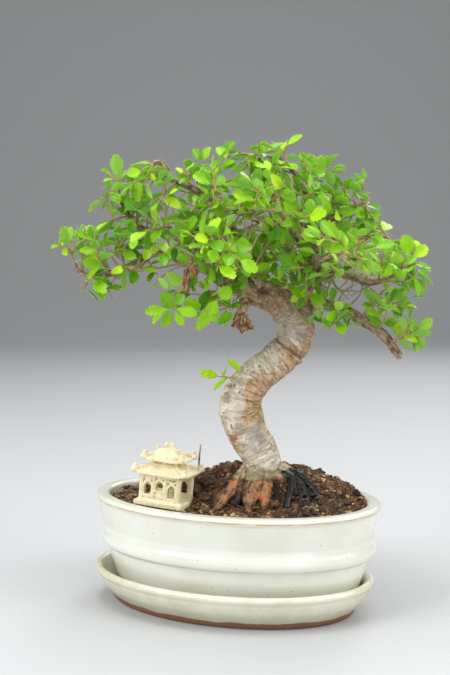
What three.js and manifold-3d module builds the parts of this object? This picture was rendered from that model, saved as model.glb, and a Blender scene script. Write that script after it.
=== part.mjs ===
// Chinese elm bonsai in an oval glazed pot on its saucer, with a small garden pavilion on the soil.
// Millimetres, +Z up. The origin is the middle of the saucer's underside, +X runs along the pot.
import * as THREE from 'three';
import { mergeVertices } from 'three/addons/utils/BufferGeometryUtils.js';
import Module from 'manifold-3d';

const wasm = await Module();
wasm.setup();

// Driving dimensions
const GAP = 0.3;                 // clearance between pieces that touch
const RIM_LENGTH = 160;
const RIM_WIDTH = 104.3;
const RIM_TOP = 59.8;
const OVAL_DIFFERENCE = (RIM_LENGTH - RIM_WIDTH) / 2;   // half length less half width, all the way up
const OVAL_CORE = 60;            // inside this half length the ovals shrink in proportion
const OVAL_SEGMENTS = 24;
const POT_OFFSET = [1.8, 2.0];   // the pot stands a little off the saucer's middle
const SAUCER_FLOOR = 4.2;
const POT_FLOOR = 10.5;
const SOIL_EDGE = 55.5;          // height of the soil along the wall
const SOIL_MOUND = 17;           // how much higher it is at the trunk
const PLANTING_TURN = THREE.MathUtils.degToRad(17.6);   // the tree's front against the pot's front
const CANOPY_MIDDLE = new THREE.Vector3(10, 0, 195);
const UP = new THREE.Vector3(0, 0, 1);

// Materials
function finish(color, roughness) {
  return new THREE.MeshStandardMaterial({ color, roughness, metalness: 0 });
}
const glaze = finish(0xe9e4d6, 0.2);
const saucerGlaze = finish(0xdfd8bd, 0.25);
const earth = finish(0x35251c, 0.95);
const bark = finish(0xb9a58c, 0.8);
const leafGreen = finish(0x4f9a1e, 0.45);
const youngGreen = finish(0x86bb2b, 0.45);
const ivory = finish(0xe6dbb6, 0.6);
const driedRed = finish(0x6d3a2a, 0.8);
const meshPlastic = finish(0x2b3a2c, 0.6);

// A closed mesh with shared corners and no flat slivers, from any closed geometry.
function welded(geometry) {
  const bare = geometry.clone();
  bare.deleteAttribute('normal');
  bare.deleteAttribute('uv');
  const merged = mergeVertices(bare, 1e-4);
  const index = merged.index.array;
  const kept = [];
  for (let i = 0; i < index.length; i += 3) {
    const [a, b, c] = [index[i], index[i + 1], index[i + 2]];
    if (a !== b && b !== c && c !== a) kept.push(a, b, c);
  }
  merged.setIndex(kept);
  return merged;
}

function toSolid(geometry) {
  const { attributes, index } = welded(geometry);
  return new wasm.Manifold(new wasm.Mesh({
    numProp: 3,
    vertProperties: new Float32Array(attributes.position.array),
    triVerts: new Uint32Array(index.array),
  }));
}

function toGeometry(solid) {
  const mesh = solid.getMesh();
  const geometry = new THREE.BufferGeometry();
  geometry.setAttribute('position', new THREE.BufferAttribute(new Float32Array(mesh.vertProperties), 3));
  geometry.setIndex(Array.from(mesh.triVerts));
  geometry.computeVertexNormals();
  return geometry;
}

function named(name, geometry, material) {
  const mesh = new THREE.Mesh(geometry, material);
  mesh.name = name;
  return mesh;
}

// Oval pottery: a turned profile of [half length, height], pressed to an oval of even wall.
function oval(x, y) {
  const r = Math.hypot(x, y);
  const narrower = OVAL_DIFFERENCE * Math.min(r / OVAL_CORE, 1);
  return r > 0 ? [x, y * (1 - narrower / r)] : [0, 0];
}

function ovalLathe(profile, segments = OVAL_SEGMENTS) {
  const outline = profile.map(([halfLength, z]) => new THREE.Vector2(halfLength, z));
  const geometry = new THREE.LatheGeometry(outline, segments);
  geometry.rotateX(Math.PI / 2);
  const position = geometry.attributes.position;
  for (let i = 0; i < position.count; i++) {
    position.setXY(i, ...oval(position.getX(i), position.getY(i)));
  }
  return welded(geometry);
}

function upright(radius, bottom, top, sides, x = 0, y = 0) {
  const geometry = new THREE.CylinderGeometry(radius, radius, top - bottom, sides);
  geometry.rotateX(Math.PI / 2);
  return geometry.translate(x, y, (bottom + top) / 2);
}

function block(x0, x1, y0, y1, z0, z1) {
  const geometry = new THREE.BoxGeometry(x1 - x0, y1 - y0, z1 - z0);
  return geometry.translate((x0 + x1) / 2, (y0 + y1) / 2, (z0 + z1) / 2);
}

// Saucer
function makeSaucer() {
  const profile = [
    [0, 0], [66.9, 0], [69.1, 3.8], [74.2, 9.2], [76.8, 13.6], [78.4, 17.8], [76.8, 19.7],
    [74.6, 19.3], [73.2, 16], [70.6, 9.5], [66.5, SAUCER_FLOOR], [0, SAUCER_FLOOR],
  ];
  return ovalLathe(profile);
}

// Pot
const POT_UNDERSIDE = SAUCER_FLOOR + GAP;
const FOOT_HEIGHT = 3;
const HOLE_RADIUS = 5;
const HOLE_X = 30;
const INNER_WALL = [[72.4, 58.6], [71.6, 46], [67.5, 27], [61.5, 13]];

function makePot() {
  const outside = [
    [55, POT_UNDERSIDE + FOOT_HEIGHT], [56, POT_UNDERSIDE], [62.5, POT_UNDERSIDE], [66.8, 9.5],
    [74.2, 31.4], [76.7, 33.4], [77.2, 37], [78.8, 56.4], [80, 58], [79, RIM_TOP],
  ];
  const inside = [[73.4, RIM_TOP], ...INNER_WALL, [57, POT_FLOOR], [0, POT_FLOOR]];
  const profile = [[0, POT_UNDERSIDE + FOOT_HEIGHT], ...outside, ...inside];
  let pot = toSolid(ovalLathe(profile));
  const notchTop = POT_UNDERSIDE + FOOT_HEIGHT;
  const acrossNotch = block(-12, 12, -60, 60, 0, notchTop);
  const alongNotch = block(-90, 90, -9, 9, 0, notchTop);
  pot = pot.subtract(toSolid(acrossNotch)).subtract(toSolid(alongNotch));
  for (const side of [-1, 1]) {
    pot = pot.subtract(toSolid(upright(HOLE_RADIUS, 0, POT_FLOOR + 1, 10, side * HOLE_X)));
  }
  return toGeometry(pot);
}

// Drain mesh: a plastic disc over each hole
const MESH_RADIUS = 9;
const MESH_THICKNESS = 1.2;

function makeDrainMesh(side, clearance = 0) {
  const bottom = POT_FLOOR + GAP - clearance;
  const top = POT_FLOOR + GAP + MESH_THICKNESS + clearance;
  return upright(MESH_RADIUS + clearance, bottom, top, 10, side * HOLE_X);
}

// Wood: every limb is a list of [x, y, z, radius] on its centre line, in the tree's own turn
const WOOD = {
  trunk: { sides: 10, line: [
    [17, 2, 40, 15], [17, 1, 54, 14.5], [18, 0, 64, 13], [18, 0, 74, 11.2], [15, 0, 84, 10.4],
    [10, -1, 93, 11], [6, -2, 103, 12], [5, -3, 111, 11.6], [8, -3, 120, 10.2], [14, -2, 127, 9.4],
    [22, -1, 133, 9.2], [30, 0, 140, 9.3], [35, 1, 147, 9.2], [36, 2, 156, 9.4], [33, 3, 164, 10],
    [30, 3, 169, 8]] },
  left_arm: { sides: 8, line: [
    [32, 3, 163, 8.5], [22, 2, 171, 7.5], [10, -3, 173, 6.4], [0, -8, 176, 4.6], [-10, -13, 182, 3.6],
    [-19, -16, 193, 3], [-28, -20, 201, 2.4], [-34, -23, 206, 1.8]] },
  stump: { sides: 6, line: [
    [11, -2, 171, 4.5], [6, -5, 164, 4.2], [5, -6, 158, 3.9], [5.5, -7, 152.5, 5.6], [6.5, -6.5, 148, 4.4]] },
  dead_stub: { sides: 5, line: [
    [-17, -16, 191, 2.2], [-21, -19, 186, 2.5], [-23, -21, 179, 2], [-23, -22, 172, 1.3]] },
  left_low: { sides: 5, line: [
    [-9, -13, 182, 2.6], [-24, 0, 187, 2.4], [-40, 7, 193, 2.7], [-52, 6, 186, 2.9], [-66, 4, 181, 2],
    [-80, 2, 181, 1.5], [-85, 0, 187, 1.2]] },
  left_high: { sides: 5, line: [
    [17, 2, 172, 4], [5, 10, 188, 3.2], [-14, 16, 200, 2.6], [-34, 18, 204, 2.3], [-48, 14, 205, 2.5],
    [-56, 10, 213, 1.8], [-61, 8, 223, 1.3]] },
  crown_left: { sides: 5, line: [
    [20, 0, 172, 5], [11, -2, 188, 3.6], [2, -8, 203, 2.8], [-10, -12, 219, 2.4], [-22, -12, 227, 2],
    [-33, -10, 232, 1.6], [-37, -10, 240, 1.6], [-41, -12, 239, 1.2]] },
  crown: { sides: 8, line: [
    [34, 3, 164, 8], [39, 6, 175, 6], [43, 8, 188, 4.8], [47, 8, 200, 4.2], [46, 8, 209, 3.6],
    [41, 6, 224, 2.4], [34, 4, 236, 1.8], [26, 2, 244, 1.2]] },
  cross: { sides: 5, line: [
    [46, 8, 208, 2.8], [32, -2, 209, 2.2], [17, -14, 209, 2], [7, -24, 212, 1.6], [-3, -30, 217, 1.2]] },
  right_top: { sides: 5, line: [
    [46, 8, 208, 2.8], [55, 12, 211, 2.3], [66, 16, 217, 1.8], [76, 14, 220, 1.2]] },
  right_mid: { sides: 5, line: [
    [40, 5, 175, 4], [47, -6, 182, 3], [60, -14, 181, 2.3], [71, -16, 177, 2], [81, -16, 179, 1.6],
    [91, -14, 186, 1.2]] },
  right_low: { sides: 6, line: [
    [34, 2, 160, 4.5], [48, -2, 165, 3.2], [62, -5, 161, 3.2], [73, -7, 155, 3.1], [82, -9, 148, 2.6],
    [90, -11, 137, 2.4]] },
  right_high: { sides: 5, line: [
    [43, 8, 188, 3.4], [58, 16, 194, 2.4], [74, 24, 200, 1.8], [86, 26, 202, 1.2]] },
  back_left: { sides: 5, line: [
    [19, 6, 170, 4], [6, 28, 184, 2.8], [-9, 48, 193, 2], [-23, 62, 199, 1.3]] },
  back_right: { sides: 5, line: [
    [38, 6, 172, 4], [54, 28, 186, 2.6], [66, 42, 192, 1.8], [74, 52, 197, 1.2]] },
  back_up: { sides: 5, line: [
    [43, 8, 188, 3.6], [40, 26, 203, 2.4], [33, 42, 217, 1.8], [24, 52, 227, 1.2]] },
  front_right: { sides: 5, line: [
    [38, 2, 172, 3], [43, -20, 185, 1.9], [49, -38, 190, 1.5], [55, -50, 193, 1.1]] },
  front_left: { sides: 5, line: [
    [17, 0, 172, 3], [11, -22, 184, 2], [4, -40, 191, 1.5], [-3, -52, 196, 1.1]] },
  front_up: { sides: 5, line: [
    [43, 6, 188, 2.6], [35, -16, 200, 1.8], [26, -32, 211, 1.5], [18, -43, 219, 1.1]] },
  root_left: { sides: 6, line: [
    [15, -2, 76, 7], [6, -8, 69, 6], [-4, -13, 61, 4.2], [-13, -17, 54, 2.6]] },
  root_front: { sides: 6, line: [
    [17, -3, 72, 7.5], [16, -12, 63, 6.5], [18, -21, 56, 4.6], [20, -28, 50, 3]] },
  root_right: { sides: 6, line: [
    [23, -2, 74, 6.5], [32, -6, 71, 4.6], [39, -9, 65, 4.2], [45, -12, 56, 3.2]] },
  root_back: { sides: 5, line: [
    [19, 5, 73, 6.5], [22, 15, 68, 5], [27, 24, 60, 3]] },
};

function curveOf(line) {
  const points = line.map(([x, y, z]) => new THREE.Vector3(x, y, z));
  return new THREE.CatmullRomCurve3(points, false, 'catmullrom', 0.5);
}

// Point and radius at a place on the line: 0 is its first point, 1 its second, and so on.
function along(line, place) {
  const last = line.length - 1;
  const before = Math.min(Math.floor(place), last - 1);
  const share = place - before;
  const radius = line[before][3] * (1 - share) + line[before + 1][3] * share;
  return { point: curveOf(line).getPoint(place / last), radius };
}

// A closed round stick whose rings are carried onto the line. Swell makes it thicker all over.
function stick(line, sides, rings, swell = 0) {
  const geometry = new THREE.CylinderGeometry(1, 1, 1, sides, rings);
  const curve = curveOf(line);
  const frames = curve.computeFrenetFrames(rings);
  const position = geometry.attributes.position;
  for (let i = 0; i < position.count; i++) {
    const ring = Math.round((position.getY(i) + 0.5) * rings);
    const place = curve.getUtoTmapping(ring / rings) * (line.length - 1);
    const { point, radius } = along(line, place);
    const thickness = radius + swell;
    point.addScaledVector(frames.normals[ring], -position.getX(i) * thickness);
    point.addScaledVector(frames.binormals[ring], position.getZ(i) * thickness);
    if (swell > 0 && ring === rings) point.addScaledVector(frames.tangents[ring], swell);
    position.setXYZ(i, point.x, point.y, point.z);
  }
  return geometry;
}

function makeWood(swell = 0) {
  const limbs = Object.values(WOOD).map(({ sides, line }) => {
    const rings = line.length > 6 ? line.length + 1 : line.length - 1;
    return toSolid(stick(line, sides, rings, swell));
  });
  return wasm.Manifold.union(limbs);
}

// Leaves: serrated blades folded along the midrib. Outline as [share of length, share of half width]
const BLADE = [[0.3, 0.84], [0.47, 0.76], [0.66, 0.98]];
const BLADE_THICKNESS = 0.65;
const BLADE_FOLD = 0.3;          // how steeply each half rises from the midrib
const BLADE_DROOP = 0.12;        // how far the tip bends down, as a share of the length
const LEAF_LENGTH = [9.5, 13];
const LEAF_WIDTH_SHARE = 0.6;
const LEAF_UPWARD = 0.7;         // how much the blades face up, out of the canopy, and any way
const LEAF_OUTWARD = 0.45;
const LEAF_SCATTER = 1.6;
const TWIG_RADIUS = [1, 0.65];
const TRIES = 40;

function bladeHeight(leaf, u, v) {
  return BLADE_FOLD * Math.abs(v) - BLADE_DROOP * leaf.length * (u / leaf.length) ** 2;
}

function bladePoint(leaf, u, v, lift = 0) {
  const height = bladeHeight(leaf, u, v) + lift;
  return leaf.base.clone().addScaledVector(leaf.along, u).addScaledVector(leaf.across, v)
    .addScaledVector(leaf.normal, height);
}

function makeBlade(leaf) {
  const half = leaf.length * LEAF_WIDTH_SHARE / 2;
  const outline = [[0, 0]];
  for (const [u, v] of BLADE) outline.push([u * leaf.length, -v * half]);
  outline.push([leaf.length, 0]);
  for (const [u, v] of [...BLADE].reverse()) outline.push([u * leaf.length, v * half]);
  const corners = [];
  for (const lift of [BLADE_THICKNESS / 2, -BLADE_THICKNESS / 2]) {
    for (const [u, v] of outline) corners.push(...bladePoint(leaf, u, v, lift).toArray());
  }
  const count = outline.length;
  const tip = BLADE.length + 1;
  const faces = [];
  for (let a = 0; a < count; a++) {
    const b = (a + 1) % count;
    faces.push(a + count, b + count, b, a + count, b, a);
    if (a !== tip && b !== tip) {
      faces.push(a, b, tip, b + count, a + count, tip + count);
    }
  }
  const geometry = new THREE.BufferGeometry();
  geometry.setAttribute('position', new THREE.Float32BufferAttribute(corners, 3));
  geometry.setIndex(faces);
  return geometry;
}

// Half width of a blade at a length u, between the corners of its outline.
function halfWidthAt(leaf, u) {
  const half = leaf.length * LEAF_WIDTH_SHARE / 2;
  const edge = [[0, 0], ...BLADE, [1, 0]];
  const share = Math.min(Math.max(u / leaf.length, 0), 1);
  for (let i = 1; i < edge.length; i++) {
    if (share <= edge[i][0]) {
      const step = (share - edge[i - 1][0]) / (edge[i][0] - edge[i - 1][0]);
      return half * (edge[i - 1][1] + (edge[i][1] - edge[i - 1][1]) * step);
    }
  }
  return 0;
}

// How far a ball's middle lies outside the blade's outline, and how far above or below the blade.
function distanceToBlade(leaf, point) {
  const offset = point.clone().sub(leaf.base);
  const u = offset.dot(leaf.along);
  const v = offset.dot(leaf.across);
  const beyond = Math.max(-u, u - leaf.length, 0);
  const beside = Math.max(Math.abs(v) - halfWidthAt(leaf, u), 0);
  const clampedU = Math.min(Math.max(u, 0), leaf.length);
  const clampedV = Math.min(Math.abs(v), halfWidthAt(leaf, u));
  const above = Math.abs(offset.dot(leaf.normal) - bladeHeight(leaf, clampedU, clampedV));
  return { outside: Math.hypot(beyond, beside), above };
}

function bladeSamples(leaf) {
  const samples = [];
  for (let i = 0; i <= 8; i++) {
    const u = leaf.length * i / 8;
    for (const share of [-1, -0.5, 0, 0.5, 1]) {
      samples.push(bladePoint(leaf, u, share * halfWidthAt(leaf, u)));
    }
  }
  return samples;
}

const BLADES_APART = 1.0;        // least height between two blades, middle to middle
const BLADES_BESIDE = 0.7;       // or least room beside each other
const WOOD_APART = 0.75;         // least room between a blade and wood

function bladesClear(a, b) {
  const far = a.base.distanceTo(b.base) > a.length + b.length + 2;
  if (far) return true;
  const blocked = (leaf, samples) => samples.some((point) => {
    const { outside, above } = distanceToBlade(leaf, point);
    return outside < BLADES_BESIDE && above < BLADES_APART;
  });
  return !blocked(a, b.samples) && !blocked(b, a.samples);
}

function woodClear(leaf, balls) {
  return !balls.some(({ point, radius, owner }) => {
    if (owner === leaf.owner) return false;
    if (point.distanceTo(leaf.base) > leaf.length + radius + 2) return false;
    const { outside, above } = distanceToBlade(leaf, point);
    return Math.hypot(outside, above) < radius + WOOD_APART;
  });
}

// The same stream of draws from 0 to 1 for the same seed.
function makeDraw(seed) {
  let state = seed;
  return () => {
    state = (state * 16807) % 2147483647;
    return state / 2147483647;
  };
}

// Leafy stems: limb, place on the limb, leaves on each twig, and the tips. The first twig grows from
// the limb, the others fork from its middle.
const SPRAYS = [
  ['left_low', 6, 4, [-87, -3, 196], [-80, 9, 201]],
  ['left_low', 4.9, 4, [-73, -8, 178]],
  ['left_low', 4, 4, [-70, -15, 191]],
  ['left_low', 3.4, 5, [-60, -12, 199]],
  ['left_low', 2.6, 4, [-51, -7, 183]],
  ['left_high', 6, 4, [-61, 4, 233], [-70, 2, 221]],
  ['left_high', 5, 4, [-65, -8, 209]],
  ['left_high', 4.4, 4, [-49, -5, 216]],
  ['left_high', 3.6, 4, [-48, 8, 229]],
  ['crown_left', 5.2, 4, [-48, -22, 229]],
  ['crown_left', 4.6, 4, [-37, -29, 218]],
  ['left_arm', 7, 4, [-43, -35, 203]],
  ['left_arm', 5.6, 4, [-30, -38, 194]],
  ['left_arm', 5, 4, [-20, -37, 207]],
  ['left_arm', 4.4, 6, [-35, -24, 163]],
  ['left_arm', 3.6, 4, [-9, -20, 166]],
  ['stump', 0.8, 3, [-5, -18, 163]],
  ['left_arm', 3.9, 4, [-10, -39, 187]],
  ['crown_left', 4, 5, [-21, -23, 234]],
  ['crown_left', 3.2, 4, [-7, -23, 238]],
  ['crown_left', 2.6, 4, [-28, 6, 220]],
  ['crown', 7, 5, [6, -4, 245]],
  ['crown', 6.6, 5, [29, 2, 249]],
  ['crown', 6.2, 4, [18, -19, 237]],
  ['crown', 5.6, 4, [40, -14, 239]],
  ['crown', 5.2, 5, [50, 10, 239]],
  ['right_top', 2.4, 4, [61, 12, 228]],
  ['right_top', 1.6, 4, [51, -9, 222]],
  ['right_top', 3, 4, [71, 4, 217]],
  ['right_high', 3, 4, [93, 20, 196], [82, 28, 210]],
  ['cross', 4, 4, [-9, -38, 224], [-12, -44, 212]],
  ['cross', 2.6, 4, [13, -42, 222]],
  ['right_mid', 5, 4, [94, -8, 192], [95, -20, 180]],
  ['right_mid', 3.6, 4, [76, -37, 192]],
  ['right_mid', 2, 4, [54, -38, 187]],
  ['right_mid', 1.2, 5, [38, -28, 168]],
  ['right_low', 4.4, 6, [98, -18, 153]],
  ['right_low', 3.2, 4, [82, -24, 168]],
  ['right_low', 1.4, 5, [56, -24, 155]],
  ['front_right', 3, 4, [63, -62, 189], [50, -64, 199]],
  ['front_left', 3, 4, [-11, -64, 199], [4, -66, 189]],
  ['front_up', 3, 4, [11, -57, 224]],
  ['front_up', 1.7, 4, [38, -50, 210]],
  ['back_left', 3, 4, [-34, 72, 206], [-20, 76, 198]],
  ['back_left', 1.9, 4, [-26, 44, 180]],
  ['back_right', 3, 4, [84, 60, 204], [71, 68, 197]],
  ['back_right', 1.8, 4, [80, 34, 181]],
  ['back_up', 3, 4, [16, 62, 236], [32, 64, 232]],
  ['back_up', 1.8, 4, [56, 46, 221]],
  ['left_high', 2.4, 4, [-26, 38, 212]],
  ['crown', 1.7, 4, [28, -24, 199], [20, -26, 187]],
];
const TRUNK_SPRIG = ['trunk', 8.6, 5, [-6, -14, 127]];

function twigLine(root, tip) {
  return [root, tip].map((point, i) => [point.x, point.y, point.z, TWIG_RADIUS[i]]);
}

// Where a twig bound for the tip leaves the limb: its flat end just clears the side or the cut end.
function twigStart(line, place, tip) {
  const last = line.length - 1;
  const { point, radius } = along(line, place);
  const direction = tip.clone().sub(point).normalize();
  const cos = Math.abs(direction.dot(curveOf(line).getTangent(place / last)));
  const sin = Math.sqrt(1 - cos * cos);
  const throughSide = (radius + GAP + TWIG_RADIUS[0] * cos) / sin;
  const throughEnd = (GAP + TWIG_RADIUS[0] * sin) / cos;
  const reach = place === last ? Math.min(throughSide, throughEnd) : throughSide;
  return point.addScaledVector(direction, reach);
}

function twigsOf([limb, place, , ...tips]) {
  const [tip, fork] = tips.map((corner) => new THREE.Vector3(...corner));
  const main = twigLine(twigStart(WOOD[limb].line, place, tip), tip);
  if (!fork) return [main];
  return [main, twigLine(along(main, 0.5).point, fork)];
}

// The balls that fill a line of wood, used to keep blades off it.
function ballsOn(line, owner, spacing = 8) {
  const balls = [];
  const count = (line.length - 1) * spacing;
  for (let i = 0; i <= count; i++) balls.push({ ...along(line, i / spacing), owner });
  return balls;
}

// One blade: it leaves the twig to its side, and faces up and out of the canopy.
function drawLeaf(twig, place, side, draw, owner) {
  const base = along(twig, place).point;
  const forward = along(twig, 1).point.sub(along(twig, 0).point).normalize();
  const outward = base.clone().sub(CANOPY_MIDDLE).normalize();
  const facing = new THREE.Vector3(draw() - 0.5, draw() - 0.5, draw() - 0.5).multiplyScalar(LEAF_SCATTER);
  facing.addScaledVector(UP, LEAF_UPWARD).addScaledVector(outward, LEAF_OUTWARD).normalize();
  const sideways = new THREE.Vector3().crossVectors(facing, forward).normalize();
  const spread = THREE.MathUtils.degToRad(side === 0 ? 30 * (draw() - 0.5) : side * (45 + 30 * draw()));
  const pitch = 0.5 * (draw() - 0.5);
  const direction = forward.clone().multiplyScalar(Math.cos(spread))
    .addScaledVector(sideways, Math.sin(spread)).addScaledVector(facing, pitch).normalize();
  const normal = facing.addScaledVector(direction, -facing.dot(direction)).normalize();
  const length = LEAF_LENGTH[0] + (LEAF_LENGTH[1] - LEAF_LENGTH[0]) * draw();
  const across = new THREE.Vector3().crossVectors(normal, direction);
  const leaf = { base, along: direction, across, normal, length, owner };
  leaf.samples = bladeSamples(leaf);
  return leaf;
}

// Fills each twig with blades, left and right in turn and one at the end, all clear of each other.
function growLeaves(sprays, twigs, balls) {
  const grown = [];
  sprays.forEach(([, , leaves], number) => {
    const draw = makeDraw(4001 + 271 * number);
    twigs[number].forEach((twig, part) => {
      for (let i = 0; i < leaves; i++) {
        const last = i === leaves - 1;
        const place = last ? 0.98 : 0.35 + 0.58 * i / (leaves - 1);
        const side = last ? 0 : (i % 2 === 0 ? 1 : -1);
        for (let attempt = 0; attempt < TRIES; attempt++) {
          const leaf = drawLeaf(twig, place, side, draw, `${number}.${part}`);
          leaf.spray = number;
          if (woodClear(leaf, balls) && grown.every((other) => bladesClear(leaf, other))) {
            grown.push(leaf);
            break;
          }
        }
      }
    });
  });
  return grown;
}

function twigSolid(line) {
  return toSolid(stick(line, 3, 1));
}

// Slides a twig's start along its line towards the limb's middle, until only the gap is left.
function seatedTwig([start, tip], middle, swollenWood) {
  let near = 0;
  let far = 1;
  let seated = twigSolid([start, tip]);
  for (let i = 0; i < 6; i++) {
    const share = (near + far) / 2;
    const point = middle.clone().lerp(new THREE.Vector3(...start), share);
    const trial = twigSolid([[point.x, point.y, point.z, TWIG_RADIUS[0]], tip]);
    if (trial.intersect(swollenWood).isEmpty()) {
      far = share;
      seated = trial;
    } else {
      near = share;
    }
  }
  return seated;
}

function makeSpray([limb, place], [main, ...forks], leaves, swollenWood) {
  const middle = along(WOOD[limb].line, place).point;
  const sticks = [seatedTwig(main, middle, swollenWood), ...forks.map(twigSolid)];
  const blades = leaves.map((leaf) => toSolid(makeBlade(leaf)));
  return toGeometry(wasm.Manifold.union([...sticks, ...blades]));
}

// Soil: a filling of the pot whose top is raised by a formula, with holes for all that stands in it
const MOUND_CENTRE = [15, 12];
const MOUND_REACH = [52, 30];

function soilHeight(x, y) {
  const apart = ((x - MOUND_CENTRE[0]) / MOUND_REACH[0]) ** 2 + ((y - MOUND_CENTRE[1]) / MOUND_REACH[1]) ** 2;
  const lumps = 0.7 * Math.sin(0.31 * x + 1) * Math.cos(0.37 * y) + 0.5 * Math.sin(0.53 * y + 0.21 * x);
  return SOIL_EDGE + SOIL_MOUND * Math.exp(-apart * apart) + lumps;
}

function makeSoil(cutters) {
  const wall = INNER_WALL.slice(1).map(([halfLength, z]) => [halfLength - GAP, z]).reverse();
  const bottom = POT_FLOOR + GAP;
  const top = [72.1 - GAP, 60, 46, 32, 17, 0].map((halfLength) => [halfLength, SOIL_EDGE]);
  const geometry = ovalLathe([[0, bottom], [57 - GAP, bottom], ...wall, ...top]);
  const position = geometry.attributes.position;
  for (let i = 0; i < position.count; i++) {
    if (position.getZ(i) > SOIL_EDGE - 0.1) {
      position.setZ(i, soilHeight(position.getX(i), position.getY(i)));
    }
  }
  const body = toSolid(geometry);
  return toGeometry(cutters.reduce((left, cutter) => left.subtract(cutter), body));
}

// Pavilion: local millimetres, with its origin in the middle of the base plate's top
const PAVILION = {
  place: [-31.2, -18.6, 60.4],
  turn: [-3, 4, -3].map(THREE.MathUtils.degToRad),   // leans back and to the right
  plate: [27.5, 23.5, 2.4],
  walls: [23, 19],
  wallHeight: 13.5,
  wallThickness: 1.8,
};

// A wall across X with pointed openings, each given as [middle, width, sill, spring, apex].
function screen(width, height, thickness, openings) {
  let wall = toSolid(block(-width / 2, width / 2, -thickness / 2, thickness / 2, -0.5, height + 0.5));
  for (const [x, opening, sill, spring, apex] of openings) {
    const shoulder = (spring + apex * 2) / 3;
    const shape = new THREE.Shape([
      [x - opening / 2, sill], [x + opening / 2, sill], [x + opening / 2, spring], [x + opening / 4, shoulder],
      [x, apex], [x - opening / 4, shoulder], [x - opening / 2, spring],
    ].map(([px, pz]) => new THREE.Vector2(px, pz)));
    const hole = new THREE.ExtrudeGeometry(shape, { depth: thickness * 2, bevelEnabled: false });
    wall = wall.subtract(toSolid(hole.rotateX(Math.PI / 2).translate(0, thickness, 0)));
  }
  return toGeometry(wall);
}

// A hipped roof slab with its edge at the bottom.
function hipRoof(length, width, topLength, topWidth, bottom, edge, top) {
  const base = block(-length / 2, length / 2, -width / 2, width / 2, bottom, bottom + edge);
  const roof = block(-length / 2, length / 2, -width / 2, width / 2, bottom + edge - 0.1, top);
  const position = roof.attributes.position;
  for (let i = 0; i < position.count; i++) {
    if (position.getZ(i) > top - 0.01) {
      position.setX(i, Math.sign(position.getX(i)) * topLength / 2);
      position.setY(i, Math.sign(position.getY(i)) * topWidth / 2);
    }
  }
  return [base, roof];
}

function knobs(reachX, reachY, z, radius) {
  const list = [];
  for (const sx of [-1, 1]) {
    for (const sy of [-1, 1]) {
      list.push(new THREE.OctahedronGeometry(radius).translate(sx * reachX, sy * reachY, z));
    }
  }
  return list;
}

function makePavilion() {
  const { plate, walls, wallHeight, wallThickness } = PAVILION;
  const [length, width] = walls;
  const parts = [block(-plate[0] / 2, plate[0] / 2, -plate[1] / 2, plate[1] / 2, -plate[2], 0)];
  const front = [[-6.8, 4.6, 3.4, 8, 10.6], [0, 5, 4.6, 8.4, 11.2], [6.8, 4.6, 3.4, 8, 10.6]];
  const open = [[0, 11.5, 0.6, 8.4, 11.4]];
  for (const side of [-1, 1]) {
    const wallY = side * (width - wallThickness) / 2;
    parts.push(screen(length, wallHeight, wallThickness, front).translate(0, wallY, 0));
    const wallX = side * (length - wallThickness) / 2;
    parts.push(screen(width - 0.4, wallHeight, wallThickness, open).rotateZ(Math.PI / 2).translate(wallX, 0, 0));
  }
  parts.push(...hipRoof(30, 26, 17, 13, wallHeight, 1.4, 18));
  parts.push(...knobs(14.4, 12.4, 15.4, 1.5));
  parts.push(block(-7.5, 7.5, -5.5, 5.5, 17.5, 21));
  parts.push(...hipRoof(23, 19, 12, 9, 20.6, 1.3, 24.6));
  parts.push(...knobs(10.8, 8.8, 22.6, 1.3));
  parts.push(...hipRoof(12, 9, 6.6, 4, 24.2, 0.8, 27));
  for (const side of [-1, 1]) {
    parts.push(new THREE.SphereGeometry(1.7, 5, 4).translate(side * 1.8, 0, 28));
  }
  return toGeometry(wasm.Manifold.union(parts.map(toSolid)));
}

function placePavilion(object) {
  object.position.set(...PAVILION.place);
  object.rotation.set(...PAVILION.turn);
  return object;
}

// Dry stem: its line is given in the tree's turn, and the soil has a plain hole for it
const DRY_STEM = [[-18, 10, 62, 0.6], [-18, 10, 74, 0.55], [-17, 10, 86, 0.4]];

// The whole object
const model = new THREE.Group();
const planting = new THREE.Group();
planting.position.set(...POT_OFFSET, 0);
const tree = new THREE.Group();
tree.rotation.z = PLANTING_TURN;

const swollenWood = makeWood(GAP);
const sprays = [...SPRAYS, TRUNK_SPRIG];
const twigs = sprays.map(twigsOf);
const balls = Object.values(WOOD).flatMap(({ line }) => ballsOn(line, 'wood'));
twigs.forEach((lines, number) => {
  lines.forEach((line, part) => balls.push(...ballsOn(line, `${number}.${part}`, 16)));
});
const leaves = growLeaves(sprays, twigs, balls);

tree.add(named('trunk', toGeometry(makeWood()), bark));
sprays.forEach((spray, number) => {
  const isSprig = spray === TRUNK_SPRIG;
  const name = isSprig ? 'trunk_sprig' : `spray_${String(number + 1).padStart(2, '0')}`;
  const own = leaves.filter((leaf) => leaf.spray === number);
  const geometry = makeSpray(spray, twigs[number], own, swollenWood);
  tree.add(named(name, geometry, isSprig ? youngGreen : leafGreen));
});
tree.add(named('dry_stem', welded(stick(DRY_STEM, 6, 3)), driedRed));

// What stands in the soil, brought from its own turn to the pot's, to cut the soil
function inPot(geometry, group) {
  const shift = new THREE.Matrix4().makeTranslation(-POT_OFFSET[0], -POT_OFFSET[1], 0);
  group.updateMatrix();
  return toSolid(geometry.clone().applyMatrix4(group.matrix).applyMatrix4(shift));
}

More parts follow.
